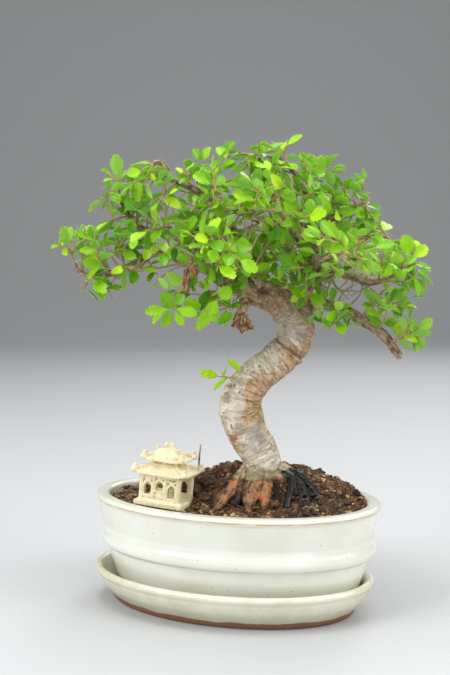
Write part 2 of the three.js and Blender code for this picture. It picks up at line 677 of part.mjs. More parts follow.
const [plateLength, plateWidth, plateHeight] = PAVILION.plate;
const plateRoom = block(
  -plateLength / 2 - GAP, plateLength / 2 + GAP, -plateWidth / 2 - GAP, plateWidth / 2 + GAP,
  -plateHeight - GAP, 9,
);
const cutters = [
  inPot(toGeometry(swollenWood), tree),
  inPot(stick(DRY_STEM, 6, 3, GAP), tree),
  inPot(plateRoom, placePavilion(new THREE.Group())),
  toSolid(makeDrainMesh(-1, GAP)),
  toSolid(makeDrainMesh(1, GAP)),
];

planting.add(named('pot', makePot(), glaze));
planting.add(named('soil', makeSoil(cutters), earth));
planting.add(named('drain_mesh_left', makeDrainMesh(-1), meshPlastic));
planting.add(named('drain_mesh_right', makeDrainMesh(1), meshPlastic));
model.add(named('saucer', makeSaucer(), saucerGlaze));
model.add(planting);
model.add(tree);
model.add(placePavilion(named('pavilion', makePavilion(), ivory)));

export default model;
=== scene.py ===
"""Chinese elm bonsai in an oval glazed pot on its saucer: the finish, the fine leaves and the bark.

Shapes are worked out in millimetres and written to the meshes in metres. The pot, the saucer and the
pavilion use the row frame, and the tree uses its own turn about the upright axis.
"""

import math
from functools import cached_property

import bmesh
import bpy
import numpy as np
from mathutils import Matrix, Vector


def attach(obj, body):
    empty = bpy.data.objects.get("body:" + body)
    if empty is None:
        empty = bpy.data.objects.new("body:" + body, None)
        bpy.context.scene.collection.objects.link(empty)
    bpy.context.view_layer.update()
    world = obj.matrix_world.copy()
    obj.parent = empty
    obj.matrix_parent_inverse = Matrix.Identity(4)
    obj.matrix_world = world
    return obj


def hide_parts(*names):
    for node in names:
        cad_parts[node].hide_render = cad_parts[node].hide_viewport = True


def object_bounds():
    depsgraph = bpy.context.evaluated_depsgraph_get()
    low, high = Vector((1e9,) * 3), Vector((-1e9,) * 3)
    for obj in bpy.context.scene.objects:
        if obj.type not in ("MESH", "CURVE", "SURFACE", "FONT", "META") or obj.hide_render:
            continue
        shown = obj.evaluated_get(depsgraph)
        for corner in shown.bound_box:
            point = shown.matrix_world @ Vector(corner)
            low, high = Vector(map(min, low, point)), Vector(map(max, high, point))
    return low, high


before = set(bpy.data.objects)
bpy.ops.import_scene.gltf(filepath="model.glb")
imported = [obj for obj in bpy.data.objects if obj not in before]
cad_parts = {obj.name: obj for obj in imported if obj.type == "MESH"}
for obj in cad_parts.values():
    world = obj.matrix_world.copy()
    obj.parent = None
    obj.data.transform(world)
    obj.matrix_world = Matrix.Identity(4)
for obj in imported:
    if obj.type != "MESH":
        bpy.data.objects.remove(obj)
cad_box = [list(corner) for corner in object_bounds()]

MM = 0.001
UP = np.array([0.0, 0.0, 1.0])
SIDES = (-1, 1)

# Driving dimensions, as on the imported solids
RIM_LENGTH = 160.0
RIM_WIDTH = 104.3
RIM_TOP = 59.8
OVAL_DIFFERENCE = (RIM_LENGTH - RIM_WIDTH) / 2
OVAL_CORE = 60.0
POT_OFFSET = np.array([1.8, 2.0, 0.0])
SAUCER_FLOOR = 4.2
POT_UNDERSIDE = 4.5
FOOT_HEIGHT = 3.0
POT_FLOOR = 10.5
SOIL_EDGE = 55.5
SOIL_MOUND = 17.0
PLANTING_TURN = math.radians(17.6)
CANOPY_MIDDLE = np.array([10.0, 0.0, 195.0])


def turned(points, angle=PLANTING_TURN):
    """Points of the tree's own turn, in the row frame."""
    c, s = math.cos(angle), math.sin(angle)
    return points @ np.array([[c, s, 0], [-s, c, 0], [0, 0, 1]])


# Camera, at the photograph's viewing angle
CAMERA_IN_TREE_TURN = np.array([-0.85, -540.8, 190.9])
CAMERA_PAN = math.radians(0.26)
CAMERA_TILT = math.radians(4.67)
FOCAL_PIXELS = 1000
IMAGE_HEIGHT = 675
SENSOR = 36.0


def make_camera():
    data = bpy.data.cameras.new("camera")
    data.sensor_width = SENSOR
    data.lens = SENSOR * FOCAL_PIXELS / IMAGE_HEIGHT
    data.clip_start = 0.01
    data.clip_end = 20
    camera = bpy.data.objects.new("camera", data)
    camera.location = turned(CAMERA_IN_TREE_TURN) * MM
    camera.rotation_euler = (math.pi / 2 - CAMERA_TILT, 0, PLANTING_TURN + CAMERA_PAN)
    bpy.context.scene.collection.objects.link(camera)
    bpy.context.scene.camera = camera


# Studio: a pale floor that sweeps up behind, and soft lamps
FLOOR_REACH = 3.0
FLOOR_HALF_WIDTH = 4.0
SWEEP_START = 1.6
SWEEP_RADIUS = 1.0
WALL_TOP = 4.0
LAMPS = [
    # name, place in the tree's turn in metres, size, watts
    ("left", (-0.95, -0.6, 0.85), 0.7, 12.4),
    ("right", (1.05, -0.45, 0.8), 0.7, 10.5),
    ("top", (0.0, 0.0, 1.3), 0.7, 11.4),
    ("rim", (0.5, 1.1, 0.9), 0.6, 5),
    ("low", (0.1, -1.3, 0.3), 1.0, 3),
]
LAMP_TARGET = np.array([0.01, 0.0, 0.13])


def make_studio():
    rows = [(-FLOOR_REACH, 0.0)]
    for angle in np.linspace(0, math.pi / 2, 13):
        rows.append((SWEEP_START + SWEEP_RADIUS * math.sin(angle), SWEEP_RADIUS * (1 - math.cos(angle))))
    rows.append((SWEEP_START + SWEEP_RADIUS, WALL_TOP))
    points = np.array([(side * FLOOR_HALF_WIDTH, y, z) for y, z in rows for side in SIDES])
    faces = [(2 * i, 2 * i + 1, 2 * i + 3, 2 * i + 2) for i in range(len(rows) - 1)]
    floor = loose_object("floor", turned(points) / MM, faces)
    floor.data.shade_smooth()
    floor.data.materials.append(Paint("floor_paper", Base_Color=(0.52, 0.53, 0.54, 1), Roughness=0.7).material)
    scene = bpy.context.scene
    for name, place, size, watts in LAMPS:
        data = bpy.data.lights.new(name, "AREA")
        data.size = size
        data.energy = watts
        lamp = bpy.data.objects.new(name, data)
        place = turned(np.array(place))
        lamp.location = place
        lamp.rotation_euler = Vector(LAMP_TARGET - place).to_track_quat("-Z", "Y").to_euler()
        scene.collection.objects.link(lamp)
    scene.world = bpy.data.worlds.new("studio")
    scene.world.use_nodes = True
    background = scene.world.node_tree.nodes["Background"]
    background.inputs["Color"].default_value = (0.93, 0.93, 0.92, 1)
    background.inputs["Strength"].default_value = 0.3
    scene.view_settings.view_transform = "Standard"


# Materials
def rgb(red, green, blue):
    """A colour as seen on a screen, 0 to 255, as the shader's linear values."""
    shares = [value / 255 for value in (red, green, blue)]
    return (*[s / 12.92 if s <= 0.04045 else ((s + 0.055) / 1.055) ** 2.4 for s in shares], 1.0)


def linear(color):
    """Three numbers are a screen colour. Any other colour is passed on."""
    return rgb(*color) if isinstance(color, tuple) and len(color) == 3 else color


class Field:
    """An output of a material's node. Arithmetic on it adds math nodes."""

    def __init__(self, paint, socket):
        self.paint, self.socket = paint, socket

    def calc(self, operation, *others):
        return self.paint.put("ShaderNodeMath", dict(enumerate((self, *others))), operation=operation)

    def __add__(self, other):
        return self.calc("ADD", other)

    def __sub__(self, other):
        return self.calc("SUBTRACT", other)

    def __rsub__(self, other):
        return self.paint.put("ShaderNodeMath", {0: other, 1: self}, operation="SUBTRACT")

    def __mul__(self, other):
        return self.calc("MULTIPLY", other)

    def step(self, low, high):
        """0 below low, 1 above high, smooth between."""
        inputs = {"Value": self, "From Min": low, "From Max": high}
        return self.paint.put("ShaderNodeMapRange", inputs, interpolation_type="SMOOTHSTEP")

    def spread(self, low, high):
        """Low where the field is 0, high where it is 1."""
        return self.paint.put("ShaderNodeMapRange", {"Value": self, "To Min": low, "To Max": high})


class Paint:
    """A material whose methods add nodes and give back fields."""

    def __init__(self, name, **values):
        self.material = bpy.data.materials.new(name)
        self.material.use_nodes = True
        self.tree = self.material.node_tree
        self.surface = self.tree.nodes["Principled BSDF"].inputs
        for socket, value in values.items():
            self.surface[socket.replace("_", " ")].default_value = value

    def put(self, kind, inputs, output=0, **settings):
        node = self.tree.nodes.new(kind)
        for key, value in settings.items():
            setattr(node, key, value)
        for key, value in inputs.items():
            if isinstance(value, Field):
                self.tree.links.new(value.socket, node.inputs[key])
            else:
                node.inputs[key].default_value = value
        return Field(self, node.outputs[output])

    @cached_property
    def where(self):
        """The place on the object, in millimetres."""
        place = self.put("ShaderNodeTexCoord", {}, "Object")
        return self.put("ShaderNodeVectorMath", {0: place, "Scale": 1 / MM}, operation="SCALE")

    @cached_property
    def height(self):
        return self.put("ShaderNodeSeparateXYZ", {0: self.where}, "Z")

    def attribute(self, name, output="Fac"):
        return self.put("ShaderNodeAttribute", {}, output, attribute_name=name)

    def scaled(self, where, sizes):
        return self.put("ShaderNodeVectorMath", {0: where, 1: sizes}, operation="MULTIPLY")

    def noise(self, scale, detail=3.0, rough=0.55, where=None):
        inputs = {"Vector": where or self.where, "Scale": scale, "Detail": detail, "Roughness": rough}
        return self.put("ShaderNodeTexNoise", inputs)

    def specks(self, scale, size, share, where=None):
        """1 on small round specks: share of the cells hold one."""
        inputs = {"Vector": where or self.where, "Scale": scale}
        distance, color = [self.put("ShaderNodeTexVoronoi", inputs, output) for output in ("Distance", "Color")]
        chosen = self.put("ShaderNodeSeparateColor", {0: color})
        return distance.calc("LESS_THAN", size) * chosen.calc("LESS_THAN", share)

    def mix(self, share, a, b, blend="MIX"):
        inputs = {0: share, 6: linear(a), 7: linear(b)}
        return self.put("ShaderNodeMix", inputs, 2, data_type="RGBA", blend_type=blend)

    def coats(self, color, *coats):
        """The colour under further coats, each given as its share and its colour."""
        for share, coat in coats:
            color = self.mix(share, color, coat)
        return color

    def ramp(self, value, *stops):
        colors = self.put("ShaderNodeValToRGB", {0: value})
        elements = colors.socket.node.color_ramp.elements
        while len(elements) < len(stops):
            elements.new(0.5)
        for element, (place, color) in zip(elements, stops):
            element.position = place
            element.color = linear(color)
        return colors

    def joined(self, color, bump, depth, strength, **sockets):
        """Joins the colour, the bump with its depth in millimetres, and other fields to the surface."""
        inputs = {"Height": bump, "Distance": depth * MM, "Strength": strength}
        sockets |= {"Base_Color": color, "Normal": self.put("ShaderNodeBump", inputs)}
        for name, field in sockets.items():
            self.tree.links.new(field.socket, self.surface[name.replace("_", " ")])
        return self.material


RIM_LINE = 57.6      # height of the thin brown line in the glaze
IRON = (120, 92, 60)


def glaze_material():
    """White glaze over a brown body: thin and brown along sharp edges, with iron specks."""
    paint = Paint("pot_glaze", Roughness=0.16, Coat_Weight=0.35, Coat_Roughness=0.08)
    strokes = paint.noise(1.0, 4, 0.6, paint.scaled(paint.where, (0.03, 0.03, 0.5))).step(0.5, 0.8)
    off = (paint.height - RIM_LINE + (paint.noise(0.12) - 0.5) * 0.9).calc("ABSOLUTE")
    broken = paint.noise(0.06, 3).step(0.26, 0.52)
    thin = (1.0 - off.step(0.1, 0.7)) * broken * paint.attribute("outer")
    base = paint.coats(
        paint.mix(paint.noise(0.035, 2).step(0.3, 0.7), (229, 229, 212), (235, 238, 228)),
        (strokes * 0.16, (222, 212, 184)), (thin * 0.75, (184, 148, 92)),
        (paint.specks(0.35, 0.12, 0.14) * 0.6, IRON), (paint.specks(0.8, 0.12, 0.14) * 0.35, (140, 118, 88)))
    return paint.joined(base, paint.noise(0.5, 2), 0.05, 0.5)


def saucer_material():
    """Yellowish white glaze, greyed below by painted shade, that stops above a bare brown foot."""
    paint = Paint("saucer_glaze", Coat_Roughness=0.1)
    level = paint.height + (paint.noise(0.09) - 0.5) * 2.4
    # Painted shade: grey on the lower outer wall
    grey = (1.0 - level.step(6.0, 13.5)) * paint.attribute("outer") * 0.55
    bare = 1.0 - level.step(3.2, 4.4)
    clay = paint.mix(paint.noise(0.8, 4), (106, 66, 44), (150, 104, 76))
    base = paint.coats(
        paint.mix(paint.noise(0.05, 2).step(0.35, 0.65), (216, 212, 186), (232, 229, 210)),
        (grey, (186, 190, 168)), (paint.noise(0.3, 4).step(0.5, 0.75) * 0.22, (205, 190, 140)),
        (paint.specks(0.35, 0.12, 0.15) * 0.5, IRON), (bare, clay))
    return paint.joined(base, paint.noise(0.6, 3), 0.06, 0.5, Roughness=bare.spread(0.2, 0.85),
                        Coat_Weight=bare.spread(0.3, 0.0))


def soil_material(name, shade):
    """Damp potting mix. Attribute tone picks the crumb's colour. Wet places are darker and shiny."""
    paint = Paint(name)
    tone = paint.attribute("tone") + (paint.noise(0.5, 4) - 0.5) * 0.85
    base = paint.ramp(
        tone, (0.0, (34, 25, 18)), (0.22, (72, 52, 36)), (0.45, (118, 88, 62)), (0.66, (156, 120, 84)),
        (0.82, (184, 166, 148)), (1.0, (222, 194, 142)))
    specked = paint.ramp(paint.noise(2.2, 3), (0.3, (40, 28, 20)), (0.7, (206, 176, 142)))
    wet = paint.noise(0.09, 2).step(0.46, 0.64)
    base = paint.mix(wet * shade, paint.mix(0.6, base, specked, "SOFT_LIGHT"), (24, 17, 13))
    return paint.joined(base, paint.noise(1.6, 4), 0.35, 0.8, Roughness=wet.spread(0.92, 0.5))


def bark_material():
    """Smooth pale bark with tan flaked patches, fine rings and dark dashes on the trunk, grey brown on the
    thin wood, and black, brown or orange roots. The same tan also paints shade on the trunk's right side,
    its underside and, high up, under the canopy. The vector attribute bark runs round and along each limb
    in millimetres. The others say how old the wood is, how wet, how red its roots are, and which zones are
    tan, creased, peeled, mossy, rooty or dead, or lie at the seam or in the knot."""
    paint = Paint("elm_bark")
    limb = paint.attribute("bark", "Vector")
    tan, crease = paint.attribute("tan"), paint.attribute("crease")

    def drawn_out(across, lengthwise):
        return paint.scaled(limb, (across, across, lengthwise))

    def grain(across, lengthwise, detail=4, rough=0.6):
        return paint.noise(1.0, detail, rough, drawn_out(across, lengthwise))

    soft = paint.noise(0.13, 4, 0.6)
    patches = paint.noise(0.2, 5, 0.62) - 0.5
    flakes_and_shade = paint.mix(paint.noise(0.35, 4).step(0.35, 0.65), (182, 128, 80), (214, 178, 128))
    rings = grain(0.15, 1.0).step(0.5, 0.6)
    wrinkled = paint.noise(0.09, 2).step(0.38, 0.6)
    ring_share = (wrinkled * 0.34 + 0.2 + tan * 0.3 + crease * 0.5).calc("MINIMUM", 0.85)
    gathered = paint.noise(0.1, 2).step(0.36, 0.5)
    dash = paint.specks(1.0, 0.27, 0.5, drawn_out(0.34, 0.64)) * gathered
    olive = grain(0.16, 0.42, 5, 0.7).step(0.55, 0.66)
    smooth = (paint.attribute("peeled") + patches * 0.9).step(0.3, 0.7)
    peeled = paint.mix(soft.step(0.4, 0.6), (168, 156, 148), (206, 199, 190))
    moss = paint.attribute("moss") * paint.noise(0.4, 4).step(0.3, 0.5)
    # Tan patches: real flaking bark, and painted shade on the right side, the underside and under the canopy
    trunk = paint.coats(
        paint.mix(soft.step(0.36, 0.64), (204, 194, 176), (234, 226, 208)),
        (grain(0.09, 0.5).step(0.46, 0.66) * 0.6, (202, 174, 134)),
        ((tan + patches * 1.7).step(0.34, 0.72) * 0.8, flakes_and_shade),
        (rings * ring_share, (128, 96, 62)), (dash * 0.75, (112, 88, 58)),
        (olive * (tan * 0.5 + 0.2), (136, 112, 66)), (crease * 0.35, (160, 118, 76)),
        (smooth * 0.78, peeled), (moss, (124, 136, 58)), (paint.attribute("seam") * 0.9, (122, 74, 44)))
    twig = paint.mix(grain(0.7, 0.3, 5, 0.65).step(0.35, 0.65), (104, 80, 60), (190, 164, 134))
    shade = paint.noise(0.3, 5, 0.65) - 0.5
    mottled = shade * 1.5 + (grain(0.45, 0.1) - 0.5) * 1.2
    roots = paint.ramp(
        paint.attribute("root_tone") + mottled, (0.0, (15, 11, 10)), (0.26, (56, 38, 28)),
        (0.48, (122, 88, 60)), (0.66, (176, 130, 90)), (0.84, (198, 112, 58)), (1.0, (212, 84, 32)))
    rooty = (paint.attribute("rooty") + shade * 0.7).step(0.35, 0.6)
    torn = grain(1.0, 0.25, 5, 0.7) + shade * 0.8
    dead = paint.ramp(torn, (0.34, (88, 58, 36)), (0.48, (168, 122, 78)), (0.62, (216, 188, 150)))
    hollow = paint.attribute("knot") * shade.step(-0.2, 0.15)
    wood = paint.coats(
        paint.mix(paint.attribute("age"), twig, trunk), (rooty, roots),
        (paint.attribute("dead").step(0.3, 0.7), dead), (hollow * 0.8, (82, 56, 38)))
    relief = paint.noise(0.9, 5, 0.7) + rings * -0.8 + dash * -0.5
    return paint.joined(wood, relief, 0.36, 0.9, Roughness=paint.attribute("damp").spread(0.74, 0.17))


def leaf_material():
    """Glossy leaf. The vector attribute blade holds the share of the length, the share of the half
    width and the leaf's own tone, young is 1 on a new leaf, and under is 1 on its lower face."""
    paint = Paint(
        "elm_leaf", Roughness=0.4, Subsurface_Weight=0.3, Subsurface_Scale=0.0012,
        Subsurface_Radius=(0.7, 1.0, 0.05), Specular_IOR_Level=0.25, Coat_Weight=0.1, Coat_Roughness=0.12)
    blade = paint.attribute("blade", "Vector")
    u, v, tone = [paint.put("ShaderNodeSeparateXYZ", {0: blade}, axis) for axis in "XYZ"]
    across = v.calc("ABSOLUTE")
    deep = paint.mix(tone, (46, 114, 0), (150, 212, 10))
    new = paint.mix(tone, (150, 208, 14), (188, 228, 40))
    patch = (paint.noise(0.22, 3) - 0.5).step(-0.12, 0.2)
    vein = 1.0 - (u * 8.0 - across * 2.6).calc("PINGPONG", 0.5).step(0.0, 0.12)
    rib = 1.0 - across.step(0.02, 0.07)
    lines = (vein * 0.16).calc("MAXIMUM", rib * 0.42)
    stem = 1.0 - u.step(0.03, 0.12)
    under = paint.attribute("under").step(0.4, 0.6)
    green = paint.coats(
        paint.mix(paint.attribute("young"), deep, new), (patch * 0.35, (92, 164, 6)), (lines, (164, 208, 84)),
        (stem * 0.7, (176, 170, 60)), (under * 0.5, (158, 206, 110)))
    return paint.joined(green, 1.0 - vein.calc("MAXIMUM", rib), 0.12, 0.55)


def twig_material():
    """Thin new wood: grey brown at the bottom, orange brown, then green at the tip."""
    paint = Paint("elm_twig", Roughness=0.6)
    color = paint.ramp(
        paint.attribute("tip"), (0.0, (168, 146, 122)), (0.4, (182, 150, 118)), (0.8, (182, 136, 90)),
        (1.0, (164, 156, 64)))
    dust = paint.noise(0.9, 4).step(0.4, 0.7)
    color = paint.mix(dust * 0.4, color, (196, 166, 132))
    return paint.joined(color, paint.noise(2.5, 3), 0.12, 0.6)


def stem_material():
    """Dry stem: reddish brown, grey and bleached at the tip."""
    paint = Paint("dry_stem_bark", Roughness=0.8)
    color = paint.ramp(
        paint.attribute("tip"), (0.0, (92, 52, 32)), (0.45, (158, 92, 62)), (0.8, (176, 118, 88)),
        (0.95, (206, 184, 168)))
    streaks = paint.noise(1.6, 4).step(0.4, 0.7)
    color = paint.mix(streaks * 0.4, color, (96, 58, 40))
    return paint.joined(color, paint.noise(3.0, 3), 0.1, 0.6)


def ivory_material():
    """Cast ivory resin, with painted shade, brownish, in its hollows, and faint stains."""
    paint = Paint("ivory_resin", Roughness=0.5, Subsurface_Weight=0.06, Subsurface_Scale=0.001)
    # Painted shade: the ivory turns brown in its hollows
    hollow = paint.attribute("hollow").step(0.15, 0.9)
    stain = paint.noise(0.7, 5, 0.7).step(0.56, 0.78)
    base = paint.coats(
        paint.mix(paint.noise(0.3, 4).step(0.35, 0.65), (228, 214, 170), (243, 234, 204)),
        (hollow * 0.6, (178, 152, 92)), (stain * 0.3, (190, 168, 112)))
    return paint.joined(base, paint.noise(1.6, 4), 0.15, 0.6)


def lattice_material():
    paint = Paint("lattice_plastic", Roughness=0.5)
    color = rgb(46, 60, 48)
    dull = (*[0.6 * value for value in color[:3]], 1.0)
    base = paint.mix(paint.noise(1.2, 4).step(0.3, 0.7), dull, color)
    return paint.joined(base, paint.noise(2.4, 3), 0.1, 0.5)


# Mesh helpers
def loose_object(name, points, faces):
    """An object from points in millimetres, not yet a piece of the part."""
    mesh = bpy.data.meshes.new(name)
    mesh.from_pydata((np.asarray(points) * MM).tolist(), [], [tuple(face) for face in faces])
    mesh.update()
    thing = bpy.data.objects.new(name, mesh)
    bpy.context.scene.collection.objects.link(thing)
    return thing


def settle(piece, materials, slot, replaces=(), kinds=None, **fields):
    """Makes the object a piece of the part. Each field is written to its points as an attribute."""
    mesh = piece.data
    for material in materials:
        mesh.materials.append(material)
    if kinds is not None:
        mesh.polygons.foreach_set("material_index", np.asarray(kinds, np.int32))
    mesh.shade_smooth()
    mesh.update()
    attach(piece, "root")
    if replaces:
        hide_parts(*replaces)
    for name, values in fields.items():
        values = np.asarray(values, np.float32)
        kind, key = ("FLOAT", "value") if values.ndim == 1 else ("FLOAT_VECTOR", "vector")
        mesh.attributes.new(name, kind, "POINT").data.foreach_set(key, values.ravel())
    return piece


def read_rows(items, key, width, kind=np.float32):
    flat = np.zeros(len(items) * width, kind)
    items.foreach_get(key, flat)
    return flat.reshape(-1, width)


def points_of(mesh):
    return read_rows(mesh.vertices, "co", 3).astype(float)


def normals_of(mesh):
    return read_rows(mesh.vertices, "normal", 3).astype(float)


def move_points(piece, points):
    """Puts the object's points at these places, in millimetres."""
    piece.data.vertices.foreach_set("co", (points * MM).astype(np.float32).ravel())
    piece.data.update()


def modify(piece, kind, **settings):
    modifier = piece.modifiers.new(kind, kind)
    for key, value in settings.items():
        setattr(modifier, key, value)


def applied(piece):
    """Puts the modifiers' result in the piece's own mesh."""
    depsgraph = bpy.context.evaluated_depsgraph_get()
    depsgraph.update()
    mesh = bpy.data.meshes.new_from_object(piece.evaluated_get(depsgraph))
    piece.modifiers.clear()
    old = piece.data
    piece.data = mesh
    bpy.data.meshes.remove(old)
    mesh.name = piece.name


def unit(vector):
    return vector / np.linalg.norm(vector)


def lengths_of(vectors):
    return np.linalg.norm(vectors, axis=-1)


def units(vectors):
    return vectors / np.maximum(lengths_of(vectors), 1e-6)[:, None]


def dots(a, b):
    return np.einsum("ij,ij->i", a, b)


def smoothed(points, mesh, rounds, weight=1.0):
    """Each point moves half way to the mean of its neighbours, some rounds over."""
    a, b = read_rows(mesh.edges, "vertices", 2, np.int32).T
    count = len(points)
    neighbours = np.maximum(np.bincount(a, minlength=count) + np.bincount(b, minlength=count), 1)[:, None]
    for _ in range(rounds):
        total = [np.bincount(a, axis[b], count) + np.bincount(b, axis[a], count) for axis in points.T]
        points = points + 0.5 * (np.stack(total, axis=1) / neighbours - points) * weight
    return points


HASH_FACTORS = (374761393, 668265263, 2147483647)
HASH_MIX = 1274126177


def lattice_value(cell, seed):
    """A repeatable number from 0 to 1 for each whole-numbered place."""
    bits = sum(cell[..., axis] * factor for axis, factor in enumerate(HASH_FACTORS)) + seed * HASH_MIX
    bits = (bits ^ (bits >> 13)) * HASH_MIX
    bits = (bits ^ (bits >> 16)) & 0xFFFFFF
    return bits / 0xFFFFFF


def lumps(points, size, seed=0):
    """Smooth random field from -1 to 1 whose features have that size. Size may be one for each axis."""
    scaled = points / np.asarray(size, float)
    cell = np.floor(scaled).astype(np.int64)
    share = scaled - cell
    share = share * share * (3 - 2 * share)
    total = np.zeros(len(points))
    for corner in np.ndindex(2, 2, 2):
        offset = np.array(corner)
        weight = np.prod(np.where(offset == 1, share, 1 - share), axis=1)
        total += weight * lattice_value(cell + offset, seed)
    return total * 2 - 1


def bell(value, width):
    """1 where the value is 0, fading out at about the width."""
    return np.exp(-(value / width) ** 2)


def fade(value, start, span):
    """0 up to the start, 1 from start + span, straight between. A negative span turns it over."""
    return np.clip((value - start) / span, 0, 1)


def ring_faces(rings, sides):
    """Faces between rings of points that follow each other, and a fan at each end. The middles of the
    two fans come after the rings."""
    around = [(i, (i + 1) % sides) for i in range(sides)]
    faces = []
    for a in range(0, (rings - 1) * sides, sides):
        faces += [(a + i, a + j, a + sides + j, a + sides + i) for i, j in around]
    top, first = (rings - 1) * sides, rings * sides
    for i, j in around:
        faces += [(first, j, i), (first + 1, top + i, top + j)]
    return faces


def circle(sides, radius=1.0):
    """Points round a circle, as two columns."""
    angles = np.arange(sides) * 2 * math.pi / sides
    return radius * np.column_stack([np.cos(angles), np.sin(angles)])


class Heap:
    """Collects closed shapes for one mesh."""

    def __init__(self):
        self.points, self.faces, self.count = [], [], 0

    def add(self, points, faces):
        self.points.append(np.asarray(points, float))
        self.faces += [tuple(int(i) + self.count for i in face) for face in faces]
        self.count += len(points)

    def box(self, *limits):
        self.add(*box_mesh(*limits))

    def made(self, name, placed=np.asarray):
        """One object of all the shapes. The function placed puts their points where they belong."""
        return loose_object(name, placed(np.vstack(self.points)), self.faces)


BOX_FACES = [(0, 1, 3, 2), (4, 6, 7, 5), (0, 4, 5, 1), (2, 3, 7, 6), (0, 2, 6, 4), (1, 5, 7, 3)]


def box_mesh(x0, x1, y0, y1, z0, z1):
    points = [(x, y, z) for x in (x0, x1) for y in (y0, y1) for z in (z0, z1)]
    return np.array(points, float), BOX_FACES


def unit_sphere(subdivisions):
    ball = bmesh.new()
    bmesh.ops.create_icosphere(ball, subdivisions=subdivisions, radius=1)
    points = np.array([v.co[:] for v in ball.verts])
    faces = [[v.index for v in f.verts] for f in ball.faces]
    ball.free()
    return points, faces


# Oval pottery: a turned profile of [half length, height], pressed to an oval of even wall
OVAL_SEGMENTS = 160
WALL_HALF_LENGTH = 78.0     # of the outer walls, where their glaze is told apart


def rounded(corners, radius, steps=4):
    """The outline with each inner corner replaced by a small curve."""
    corners = [np.array(c, float) for c in corners]
    line = [corners[0]]
    for before, corner, after in zip(corners, corners[1:], corners[2:]):
        start, end = [corner + unit(other - corner) * min(radius, np.linalg.norm(other - corner) * 0.48)
                      for other in (before, after)]
        for t in np.arange(steps + 1) / steps:
            line.append((1 - t) ** 2 * start + 2 * t * (1 - t) * corner + t * t * end)
    line.append(corners[-1])
    return line


def oval(x, y):
    r = np.hypot(x, y)
    narrower = OVAL_DIFFERENCE * np.minimum(r / OVAL_CORE, 1)
    return x, y * (1 - narrower / np.maximum(r, 1e-9))


def oval_lathe(profile, segments=OVAL_SEGMENTS):
    """Points and faces of the oval for a profile that starts and ends on the axis."""
    rings = np.array(profile[1:-1])
    cos, sin = circle(segments).T
    x, y = oval(rings[:, :1] * cos, rings[:, :1] * sin)
    z = np.repeat(rings[:, 1:2], segments, axis=1)
    points = np.stack([x, y, z], axis=-1).reshape(-1, 3)
    points = np.vstack([points, [[0, 0, profile[0][1]], [0, 0, profile[-1][1]]]])
    return points, ring_faces(len(rings), segments)


def oval_reach(points):
    """Half the length of the oval that each point lies on."""
    return np.hypot(points[:, 0], points[:, 1] / (1 - OVAL_DIFFERENCE / WALL_HALF_LENGTH))


def make_saucer(material):
    outside = [
        (0, 0.6), (62, 0.6), (63.5, 0), (66.9, 0), (68.4, 1.2), (69.2, 3.8), (70.4, 4.9), (74.2, 9.2),
        (76.6, 13.6),
        (77.2, 15.4), (78.4, 17.0), (78.5, 18.4), (77.6, 19.6), (76.2, 19.8), (74.8, 19.3), (73.4, 16.6),
        (72.3, 12.5), (70.4, 8.4), (68.2, 5.4), (64.5, SAUCER_FLOOR), (0, SAUCER_FLOOR),
    ]
    points, faces = oval_lathe(rounded(outside, 1.2))
    points[:, 2] += 0.12 * lumps(points, 26, 3) * np.clip(points[:, 2] / 10, 0, 1)
    outer = fade(oval_reach(points), 62, 4) * (points[:, 2] < 17)
    settle(loose_object("saucer_glazed", points, faces), [material], "saucer_glaze", ["saucer"], outer=outer)


FOOT_NOTCH = POT_UNDERSIDE + FOOT_HEIGHT
POT_OUTSIDE = [
    (0, FOOT_NOTCH), (54.6, FOOT_NOTCH), (56, POT_UNDERSIDE), (62.5, POT_UNDERSIDE), (64.6, 6.6), (66.8, 9.5),
    (69.2, 15.5), (72.0, 23.5), (73.4, 29.2), (73.9, 30.9), (75.6, 31.4), (77.1, 32.8), (77.8, 35.0),
    (77.6, 37.2), (76.4, 39.8), (76.0, 42.4), (76.9, 46.0), (78.2, 52.0), (78.9, 56.0), (79.8, 57.0),
    (80, 58.4), (79.2, RIM_TOP),
]
POT_INSIDE = [
    (73.6, RIM_TOP), (72.5, 58.8), (72.2, 56), (71.6, 46), (67.5, 27), (61.5, 13), (57, POT_FLOOR),
    (0, POT_FLOOR),
]
DRAIN_HOLE_RADIUS = 5.0
DRAIN_HOLE_X = 30.0


def drain_cutter(x, sides=48):
    ring = circle(sides, DRAIN_HOLE_RADIUS) + [x, 0]
    points = np.vstack([np.column_stack([ring, np.full(sides, z)]) for z in (0, POT_FLOOR + 1)])
    faces = [tuple(range(sides))[::-1], tuple(range(sides, 2 * sides))]
    faces += [(i, (i + 1) % sides, sides + (i + 1) % sides, sides + i) for i in range(sides)]
    return points, faces


def make_pot(material):
    """The pot: two notches under it leave four feet, and two holes drain it."""
    points, faces = oval_lathe(rounded([*POT_OUTSIDE, *POT_INSIDE], 0.9))
    points[:, 2] += 0.15 * lumps(points, 30, 5) * fade(points[:, 2], 20, 30)
    outer = fade(oval_reach(points), 76.5, 1.2)
    pot = loose_object("pot_glazed", points + POT_OFFSET, faces)
    settle(pot, [material], "pot_glaze", ["pot"], outer=outer)
    top = FOOT_NOTCH - 0.02
    shapes = [box_mesh(-12, 12, -60, 60, 0, top), box_mesh(-90, 90, -9, 9, 0, top)]
    shapes += [drain_cutter(side * DRAIN_HOLE_X) for side in SIDES]
    cutters = [loose_object("cutter", points + POT_OFFSET, faces) for points, faces in shapes]
    for cutter in cutters:
        modify(pot, "BOOLEAN", operation="DIFFERENCE", solver="EXACT", object=cutter)
    applied(pot)
    for cutter in cutters:
        bpy.data.objects.remove(cutter)


